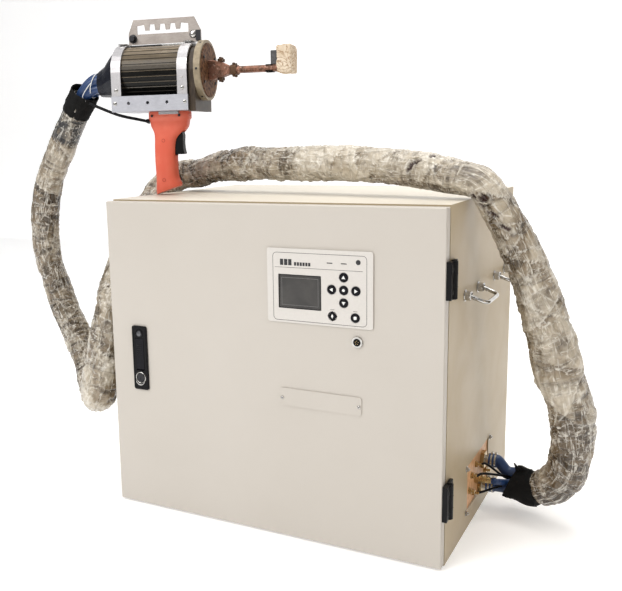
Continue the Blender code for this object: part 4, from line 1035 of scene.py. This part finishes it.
def grip():
    """Smooth red grip with its flange step, parting line and screws."""
    stations = [                # rear a, front a, half width, height at the rear, rise to the front
        (-0.031, 0.021, 0.0175, 0.0003, 0.018), (-0.0322, 0.0226, 0.0191, 0.005, 0.0175),
        (-0.0305, 0.0165, 0.0185, 0.018, 0.012), (-0.0305, 0.014, 0.018, 0.04, 0.004),
        (-0.0315, 0.014, 0.0185, 0.07, 0.0), (-0.031, 0.015, 0.0185, 0.095, 0.0),
        (-0.03, 0.018, 0.019, 0.113, 0.0), (-0.031, 0.033, 0.02, 0.126, 0.0),
        (-0.037, 0.041, 0.022, 0.134, 0.0), (-0.039, 0.043, 0.0225, 0.148, 0.0),
        (-0.041, 0.046, 0.025, 0.151, 0.0), (-0.041, 0.046, 0.025, 0.162, 0.0),
        (-0.0395, 0.0445, 0.0235, 0.1647, 0.0)]
    sides, rings = 64, []
    heights = [s[3] for s in stations]
    fine = sorted(set(list(np.linspace(heights[0], heights[9], 44).round(5)) + heights[9:]))
    table = np.array(stations)
    for k, h in enumerate(fine):
        rear, front, half, rise = (np.interp(h, heights, table[:, col]) for col in (0, 1, 2, 4))
        centre, reach = (rear + front) / 2, (front - rear) / 2
        ring = []
        for m in range(sides):
            turn = 2 * pi * m / sides
            u = abs(cos(turn)) ** 0.75 * (1 if cos(turn) >= 0 else -1)
            v = abs(sin(turn)) ** 0.75 * (1 if sin(turn) >= 0 else -1)
            groove = 0.0004 if abs(u) < 0.028 and h < 0.149 else 0.0
            ring.append(Vector((centre + reach * u, half * v - groove * (1 if v > 0 else -1),
                                h + rise * (1 + u) / 2)))
        rings.append(ring)
    for _ in range(3):          # soften the loft between its stations, the flange step excepted
        smooth = [r[:] for r in rings]
        for k in range(1, len(rings) - 1):
            if fine[k] < 0.146:
                smooth[k] = [(a + 2 * b + c) / 4 for a, b, c in zip(rings[k - 1], rings[k], rings[k + 1])]
        rings = smooth
    body = Shape(gun=True).rings(rings).piece("grip_body", "red", None, angle=50)
    pocket = Shape(gun=True).block((-0.004, -0.0088, 0.078), (0.06, 0.0088, 0.127)).piece(
        "grip_pocket", "red", None)
    cut = body.modifiers.new("pocket", 'BOOLEAN')
    cut.operation, cut.solver, cut.object = 'DIFFERENCE', 'EXACT', pocket
    applied = bpy.data.meshes.new_from_object(body.evaluated_get(bpy.context.evaluated_depsgraph_get()))
    body.modifiers.clear()
    body.data = applied
    body.data.shade_smooth()
    body.data.set_sharp_from_angle(angle=radians(50))
    bpy.data.objects.remove(pocket)
    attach(body, "gun")
    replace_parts(body, "gun_grip")

    flange, heads, slots = Shape(gun=True), Shape(gun=True), Shape(gun=True)
    outer = [(0.003 + 0.044 * cos(2 * pi * k / 48), 0.0252 * sin(2 * pi * k / 48)) for k in range(48)]
    for side in (-1, 1):
        for a, c in ((-0.034, 0.1565), (0.038, 0.1565)):
            b = side * 0.0246 if a > 0 else side * 0.0238
            dome(heads, (a * 0.8, b, c), (0, side, 0), 0.0026, 0.001)
            cross_slot(slots, (a * 0.8, b + side * 0.0009, c), (0, side, 0), 0.0012)
        for a, c in ((-0.009, 0.03), (-0.007, 0.108)):
            flange.hoop([(0.0026, -0.001), (0.0026, 0.0003), (0.0037, 0.0003), (0.0037, -0.001)],
                        (a, side * 0.0186, c), (0, side, 0), 24)
    flange.slab(outer, (0, 0, 0.1555), RIGHT, BACK, 0.0008)
    flange.piece("grip_seam", "red_dark", "gun", bevel=0.0002)
    heads.piece("grip_screws", "gunmetal", "gun")
    slots.piece("grip_slots", "ink", "gun")
    spacer = Shape(gun=True).block((-0.011, -0.029, 0.1588), (0.03, 0.029, 0.1647))
    spacer.piece("grip_spacer", "strap", "gun", bevel=0.0006)
    ribs = Shape()
    turned = GUN @ Matrix.Translation((0.024, 0, 0.1215))
    for k in range(5):
        c = -0.009 - 0.0042 * k
        ribs.add([turned @ Vector((a, b, c + dc)) for a in (0.0046, 0.0064) for b, dc in
                  ((-0.006, 0), (0.006, 0), (0.006, 0.0016), (-0.006, 0.0016))],
                 [(0, 1, 2, 3), (7, 6, 5, 4), (0, 4, 5, 1), (1, 5, 6, 2), (2, 6, 7, 3), (3, 7, 4, 0)])
    ribs.piece("trigger_ribs", "black", "trigger", bevel=0.0003)


# ---- hose --------------------------------------------------------------------------------
def film_hose():
    """The bundle in its cling film: lumps, wound edges, creases and tears, as real surface; painted highlights
    on its edges and painted shade at its wrap steps and lip are kept in its attributes.
    """
    corners = [HOSE_ROUTE[0], *smooth_route(HOSE_ROUTE[1:-1], 24), HOSE_ROUTE[-1]]
    line, at = spaced(corners, 0.003)
    legs = np.concatenate([[0], np.cumsum(np.linalg.norm(np.diff(np.array(HOSE_ROUTE), axis=0), axis=1))])
    legs *= at[-1] / legs[-1]

    def stops(pairs):
        """A value along the hose, given at route points by their number."""
        return np.interp(at, np.interp([p[0] for p in pairs], range(len(legs)), legs), [p[1] for p in pairs])

    radius = stops([(0, 0.029), (1, 0.0315), (2, 0.0335), (3, 0.0345), (4, 0.0345), (4.6, 0.035),
                    (6, 0.034), (7, 0.032), (8, 0.0305), (9, 0.0285), (10, 0.0268), (11.5, 0.0268),
                    (13, 0.0295), (16, 0.0285), (18, 0.027), (20, 0.027), (22, 0.031), (24, 0.0352),
                    (26, 0.0356), (27.5, 0.0335), (28.5, 0.031), (30, 0.029),
                    (33, 0.0275), (35, 0.0285), (37, 0.027), (39, 0.0262)])
    film = stops([(0, 0.42), (1.5, 0.3), (3, 0.36), (4.2, 0.46), (4.7, 0.74), (6.5, 0.72), (8, 0.66),
                  (9.5, 0.58), (10.5, 0.8), (13, 0.92), (14, 0.76), (15, 0.68), (17, 0.58), (19, 0.62),
                  (22, 0.62), (24, 0.56), (26, 0.46), (28, 0.5), (30.5, 0.38), (31.5, 0.34),
                  (32.2, 0.22), (33.4, 0.2), (33.7, 0.5), (34.6, 0.6), (34.8, 0.18), (35.4, 0.2),
                  (35.55, 0.66), (37.1, 0.64), (37.25, 0.05), (38.2, 0.0), (38.4, 0.0), (39, 0.0)])
    black = stops([(0, 0.15), (2, 0.0), (36, 0.0), (37.1, 0.1), (37.3, 1.0), (39, 1.0)])
    lumps = stops([(0, 0.7), (3, 1.3), (7, 1.0), (10, 0.6), (12, 0.7), (16, 1.0), (26, 1.2),
                   (32, 0.9), (37, 0.5), (38.6, 0.2), (39, 0.1)])

    sides = 88
    turns = np.linspace(0, 2 * pi, sides, endpoint=False)
    across = carried([Vector(p) for p in line])
    e1 = np.array([tuple(x) for x, _ in across])
    e2 = np.array([tuple(y) for _, y in across])
    rings = len(line)
    facing = np.zeros((rings, sides, 3))
    facing[:] = np.cos(turns)[None, :, None] * e1[:, None, :] + np.sin(turns)[None, :, None] * e2[:, None, :]

    s, t = np.meshgrid(at, turns, indexing='ij')
    round_x, round_y = np.cos(t) * 0.03, np.sin(t) * 0.03
    co = np.stack([round_x, round_y, s], axis=-1)

    def sampled(scale, stretch, seed, octaves=3, ridged=False):
        out = np.empty(rings * sides)
        points = co.reshape(-1, 3) * np.array(stretch) * scale + seed
        for k, p in enumerate(points):
            out[k] = noise.fractal(p, 0.9, 2.1, octaves)
        out = out.reshape(rings, sides)
        return 1 - 2.4 * np.abs(out) if ridged else out

    big = sampled(26, (1, 1, 0.55), 3.1, 2)
    lift = np.sin(t + 0.8) * 0.03
    co[..., 2] = s + 0.9 * lift
    crease = sampled(78, (0.8, 0.8, 0.75), 11.7, 3, True)
    co[..., 2] = s - 0.7 * lift
    long_fold = sampled(120, (1, 1, 0.14), 5.3, 2, True)
    co[..., 2] = s
    wander = sampled(9, (1, 1, 1), 17.9, 1)

    def wound(pitch, hand, offset, height, reach):
        """Overlap edges of a helical wrap: a step, a painted highlight on its lip, its tone, and painted shade
        just before it.
        """
        turns_in = s / pitch + hand * t / (2 * pi) + offset + 0.3 * wander
        phase = turns_in % 1.0
        step = np.exp(-phase / reach) * np.clip(phase / 0.01, 0, 1)
        # painted highlight: a thin bright line on the lip of each wrap
        edge = np.exp(-((phase * pitch - 0.0012) / 0.0013) ** 2)
        band = np.modf(np.abs(np.sin(np.floor(turns_in) * 12.9898 + 4.1 * offset) * 43.7585))[0] - 0.5
        # a random tone per band and a milkier overlap, with painted shade just before each step
        tone = 0.34 * band + 0.16 * np.exp(-phase / 0.25) - 0.26 * np.exp(-(1 - phase) * pitch / 0.006)
        return step * height, edge * (np.sin(7 * t + 30 * s) > -0.55), tone

    step_one, edge_one, tone_one = wound(0.105, 1, 0.15, 0.002, 0.3)
    step_two, edge_two, tone_two = wound(0.155, -1, 0.6, 0.0016, 0.25)
    step_three, edge_three, tone_three = wound(0.33, 2, 0.35, 0.0012, 0.12)

    gather = np.exp(-((s[:, :1] - 0.985) / 0.035) ** 2) + 0.8 * np.exp(-((s[:, :1] - 1.155) / 0.03) ** 2)
    radius = radius + 0.003 * gather[:, 0]
    r = radius[:, None] + lumps[:, None] * (0.004 * big + 0.0018 * crease + 0.0013 * long_fold)
    r = r + (step_one + step_two + step_three) * np.clip(lumps, 0.3, 1.0)[:, None]

    points = line[:, None, :] + facing * r[..., None]
    # the over-wrap on the right run ends in a slanting lip, and billows away from the cabinet side
    lip_at = 0.232 - 0.042 * facing[..., 0] + 0.026 * facing[..., 1]
    over = 1 / (1 + np.exp(-(s - lip_at) / 0.0016))
    fade = np.clip(1 - (s - lip_at) / 0.3, 0, 1)
    r = r + 0.0048 * over * fade
    leftward = np.clip(-facing[..., 0] * 0.92 - facing[..., 1] * 0.38, 0, 1)
    flap = np.exp(-((s - 0.292) / 0.04) ** 2) * leftward ** 3
    r = r + 0.0052 * flap
    seen = np.clip((facing @ np.array((0.12, -0.93, 0.35)) - 0.45) / 0.25, 0, 1)
    core = np.clip((0.205 - s) / 0.02, 0, 1) * np.clip((s - 0.04) / 0.03, 0, 1)
    # the film's tone, with the wraps' painted shade before each step
    film_map = film[:, None] + 0.2 * (big - 0.05) + (tone_one + 0.8 * tone_two) * np.clip(1.3 - core, 0, 1)
    film_map = film_map + over * (0.3 * np.exp(-(s - lip_at) / 0.045) * (s > lip_at)) - 0.34 * core * seen
    # painted shadow: the film is darkened just below the lip
    film_map = film_map - 0.35 * (1 - over) * np.exp(-np.clip(lip_at - s, 0, 1) / 0.006)
    film_map = np.clip(film_map, 0, 1)

    # tears, as places on the surface, the way the slit runs, its half length and half width
    tears = [((0.223, -0.113, 0.654), (0.62, 0.1, 0.78), 0.013, 0.0036),
             ((0.236, -0.1125, 0.6625), (0.95, 0.1, 0.3), 0.011, 0.0026),
             ((0.259, -0.106, 0.67), (0.45, 0.6, 0.75), 0.011, 0.005),
             ((0.335, -0.1325, 0.604), (0.6, 0.0, 0.8), 0.0085, 0.005),
             ((0.353, -0.1385, 0.6035), (0.95, -0.1, 0.15), 0.008, 0.006),
             ((0.344, -0.1335, 0.5945), (0.8, 0.1, -0.6), 0.012, 0.0032),
             ((0.366, -0.134, 0.578), (0.9, 0.1, -0.4), 0.012, 0.0034),
             ((0.389, -0.127, 0.555), (0.9, 0.1, -0.45), 0.013, 0.003)]
    tear = np.zeros_like(s)
    rim = np.zeros_like(s)
    jag = sampled(210, (1, 1, 1), 31.0, 2)
    for where, way, length, width in tears:
        way = np.array(way) / np.linalg.norm(way)
        off = points - np.array(where)
        forward = off @ way
        sideways = np.linalg.norm(off - forward[..., None] * way, axis=-1)
        d = np.sqrt((forward / length) ** 2 + (sideways / width) ** 2) + 0.45 * jag
        tear = np.maximum(tear, np.clip((1.15 - d) / 0.3, 0, 1))
        rim = np.maximum(rim, np.exp(-((d - 1.45) / 0.28) ** 2))
    r = r - 0.0034 * tear + 0.0016 * rim * (1 - tear)
    r = np.minimum(r, 0.0436)
    seam = np.clip(np.minimum(s, s[-1, 0] - s) / 0.004, 0, 1)      # its ends meet their sleeves squarely
    r = 0.0255 + (r - 0.0255) * seam

    points = line[:, None, :] + facing * r[..., None]
    # painted highlights: bright lines on the lip, along the wrap edges and round the tear rims, with the fine
    # fibre lines added, kept in the 'line' attribute
    lip_line = np.exp(-((s - lip_at - 0.001) / 0.0014) ** 2)
    fibres = np.exp(-((np.sin(5 * t + 6 * s + 1.5 * wander)) / 0.1) ** 2) * core * (jag > -0.1)
    lines = 0.85 * edge_one * (wander > -0.25) + 0.65 * edge_two * (big > -0.2) + 0.5 * edge_three
    lines = np.clip(lines * (1 - 0.7 * core) + 0.45 * rim * (1 - tear) + 0.55 * lip_line
                    + 0.32 * fibres, 0, 0.85)

    count = rings * sides
    index = np.arange(count).reshape(rings, sides)
    nxt = np.roll(index, -1, axis=1)
    quads = np.stack([index[:-1], nxt[:-1], nxt[1:], index[1:]], axis=-1).reshape(-1, 4)
    faces = [tuple(q) for q in quads.tolist()]
    faces += [tuple(index[0][::-1].tolist()), tuple(index[-1].tolist())]
    hose = made("film_hose", points.reshape(-1, 3).tolist(), faces, "film")
    co = np.stack([round_x, round_y, s], axis=-1)
    for name, values in (("film", film_map), ("line", lines), ("tear", tear),
                         ("black", np.broadcast_to(black[:, None], s.shape))):
        hose.data.attributes.new(name, 'FLOAT', 'POINT').data.foreach_set(
            "value", np.ascontiguousarray(values, dtype=np.float32).ravel())
    hose.data.attributes.new("hose_co", 'FLOAT_VECTOR', 'POINT').data.foreach_set(
        "vector", np.ascontiguousarray(co, dtype=np.float32).ravel())
    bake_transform(hose)
    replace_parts(hose, "hose_bundle")
    return hose, line[::3], at[-1]


def sleeves():
    """Black cloth where the bundle leaves the cabinet and where it meets the gun."""
    sides = 56

    def cloth(name, route, radii, slant, paint, body, wrinkle=0.001, gun=False):
        line, at = spaced(smooth_route(route, 12), 0.0022)
        way = carried([Vector(p) for p in line])
        loops = []
        for k, (p, (x, y)) in enumerate(zip(line, way)):
            radius = np.interp(at[k] / at[-1], np.linspace(0, 1, len(radii)), radii)
            loop = []
            for m in range(sides):
                turn = 2 * pi * m / sides
                out = x * cos(turn) + y * sin(turn)
                q = Vector((out.x * 30, out.y * 30, out.z * 30 + at[k] * 40))
                swell = noise.fractal(q * 0.09 + Vector((4.2, 1.1, at[k] * 26)), 0.9, 2.0, 3) * wrinkle * 2.4
                swell -= abs(noise.noise(Vector((at[k] * 150 + 2 * out.z, out.x * 2, 7.7)))) * wrinkle
                shift = slant * out.z * max(0.0, 1 - at[k] / 0.03)
                loop.append(Vector(p) + out * (radius + swell) + (y.cross(x)) * -shift)
            loops.append(loop)
        inner = [[q + (Vector(p) - q).normalized() * 0.0016 for q in loop] for p, loop in zip(line, loops[:9])]
        return Shape(gun=gun).rings(list(reversed(inner)) + loops).piece(name, paint, body, angle=70)

    near = cloth("sleeve_cloth", [(0.38, 0.025, 0.0615), (0.395, 0.024, 0.06), (0.415, 0.019, 0.057),
                                  (0.4335, 0.0138, 0.059)],
                 (0.0325, 0.0335, 0.0325, 0.03), 0.01, "cloth", "cabinet", 0.0016)
    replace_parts(near, "sleeve_cabinet_end")
    rag = Shape()
    base = Vector((0.395, 0.015, 0.09))
    for thick, taper, steps in (
            (0.005, 0.00032, ((0, 0, 0), (-0.002, -0.004, 0.006), (-0.006, -0.006, 0.014))),
            (0.0046, 0.0003, ((0.01, 0, 0), (0.008, -0.003, 0.005), (0.002, -0.004, 0.009)))):
        rag.tube(smooth_route([base + Vector(step) for step in steps], 6),
                 [thick - taper * k for k in range(13)], 10)
    rag.piece("sleeve_frays", "cloth", "cabinet")

    supply = []
    for name, fitting, end in (("upper", (0.04, 0.09), (0.036, 0.0745)),
                               ("lower", (0.022, 0.048), (0.018, 0.05))):
        start_x = PLATE_FACE + 0.0263
        route = smooth_route([(start_x, *fitting), (start_x + 0.006, *fitting), (0.372, *end),
                              (0.392, *end)], 8)
        route = [Vector((0.337, *fitting)), Vector((0.343, *fitting))] + route
        radii = [0.0134, 0.0134] + [0.0134 - 0.0026 * min(1.0, k / 8) for k in range(len(route) - 2)]
        tube = Shape().tube(route, radii, 28).piece(f"supply_hose_{name}", "blue_rubber", "cabinet")
        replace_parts(tube, f"supply_cable_{name}")
        supply.append(tube)

    cuff_axis = [GUN.inverted() @ Vector(p) for p in HOSE_ROUTE[-3:]]
    ahead = (cuff_axis[-1] - cuff_axis[-2]).normalized()
    route = [cuff_axis[-1] + ahead * step for step in (-0.04, -0.02, 0.0, 0.012)]
    cuff = cloth("gun_cuff", [tuple(p) for p in reversed(route)], (0.03, 0.029, 0.0288, 0.0285), 0.0,
                 "cloth", "gun", 0.001, gun=True)

    cables = Shape(gun=True)
    for b, c in ((-0.0115, 0.006), (0.011, 0.007), (-0.01, -0.0105), (0.0105, -0.01), (0.0, 0.0135)):
        cables.tube(smooth_route([(-0.138, b, 0.224 + c), (-0.15, b, 0.2235 + c), (-0.164, b * 1.02, 0.218 + c),
                                  (-0.18, b * 0.9, 0.206 + c * 0.9), (-0.193, b * 0.7, 0.19 + c * 0.7)], 7),
                    0.0094, 22)
    bundle = cables.piece("gun_hoses", "blue_rubber", "gun")
    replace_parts(bundle, "gun_cables")
    tie = Shape(gun=True)
    loop = [(-0.156 + 0.012 * cos(radians(t)) * 0.6, 0.024 * sin(radians(t)), 0.2215 + 0.0245 * cos(radians(t)))
            for t in range(0, 360, 12)]
    tie.tube(loop + [loop[0]], 0.0009, 8)
    tie.tube(smooth_route([(-0.15, -0.017, 0.233), (-0.162, -0.0215, 0.22), (-0.176, -0.0225, 0.2),
                           (-0.17, -0.0215, 0.19)], 8), 0.0008, 8)
    tie.piece("cable_tie", "white_ink", "gun")
    return [near, *supply, cuff, bundle]


def control_cable():
    route = [(-0.164, -0.016, 0.186), (-0.143, -0.017, 0.1765), (-0.1, -0.016, 0.16),
             (-0.057, -0.011, 0.15), (-0.0402, -0.006, 0.146)]
    local = smooth_route(route, 12)
    cable = Shape(gun=True).tube(local, 0.003, 18).piece("trigger_cable", "black", "gun")
    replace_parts(cable, "control_cable")
    grommet = Shape(gun=True)
    grommet.lathe([(0.0048, 0), (0.0048, 0.004), (0.0036, 0.008)], (-0.0385, -0.006, 0.1462),
                  (-0.97, -0.28, 0.24), 20)
    grommet = grommet.piece("trigger_grommet", "black", "gun")


def film_scraps():
    """Loose torn edges of film standing off the wrap."""
    rng = np.random.default_rng(21)
    scraps = Shape()
    spots = [((0.33, -0.128, 0.612), (-0.5, -0.6, 0.6), 0.012, 0.007),
             ((0.353, -0.14, 0.596), (0.1, -0.9, 0.3), 0.014, 0.007),
             ((0.233, -0.112, 0.668), (-0.1, -0.6, 0.8), 0.012, 0.005),
             ((0.436, -0.045, 0.292), (-0.93, -0.36, 0.0), 0.034, 0.01),
             ((0.43, 0.012, 0.086), (-0.6, -0.3, 0.7), 0.014, 0.007)]
    for where, out, length, width in spots:
        out = Vector(out).normalized()
        along = out.cross(Vector((0, 1, 0.2))).normalized()
        rows = []
        for i in range(9):
            u = i / 8
            row = []
            for j in range(4):
                v = j / 3
                jitter = Vector(rng.uniform(-1, 1, 3)) * 0.0006
                reach = width * v * (0.45 + 0.55 * sin(pi * u)) * (1 + 0.25 * sin(9 * u))
                row.append(Vector(where) + along * length * (u - 0.5) + out * reach
                           + Vector((0, -0.0025, 0)) * sin(pi * v) + jitter)
            rows.append(row)
        flat = [p for row in rows for p in row]
        back = [p + Vector((0.0003, 0.0004, 0.0)) for p in flat]
        faces = []
        for i in range(8):
            for j in range(3):
                a = i * 4 + j
                faces.append((a, a + 1, a + 5, a + 4))
                faces.append((36 + a + 4, 36 + a + 5, 36 + a + 1, 36 + a))
        edge = [0, 1, 2, *range(3, 36, 4), 34, 33, *range(32, 0, -4)]
        for k, a in enumerate(edge):
            b = edge[(k + 1) % len(edge)]
            faces.append((a, b, 36 + b, 36 + a))
        scraps.add(flat + back, faces)
    return scraps.piece("film_scraps", "scrap", "cabinet", angle=80)


make_camera()
studio()
dress_nodes()
hose, path, length = film_hose()
on_hose = sleeves()
scraps = film_scraps()
for make in (control_cable, door_details, keypad_details, lock_details, hinge_details, side_details,
             connector_details, inside_details, gun_fasteners, gun_nose, grip):
    make()
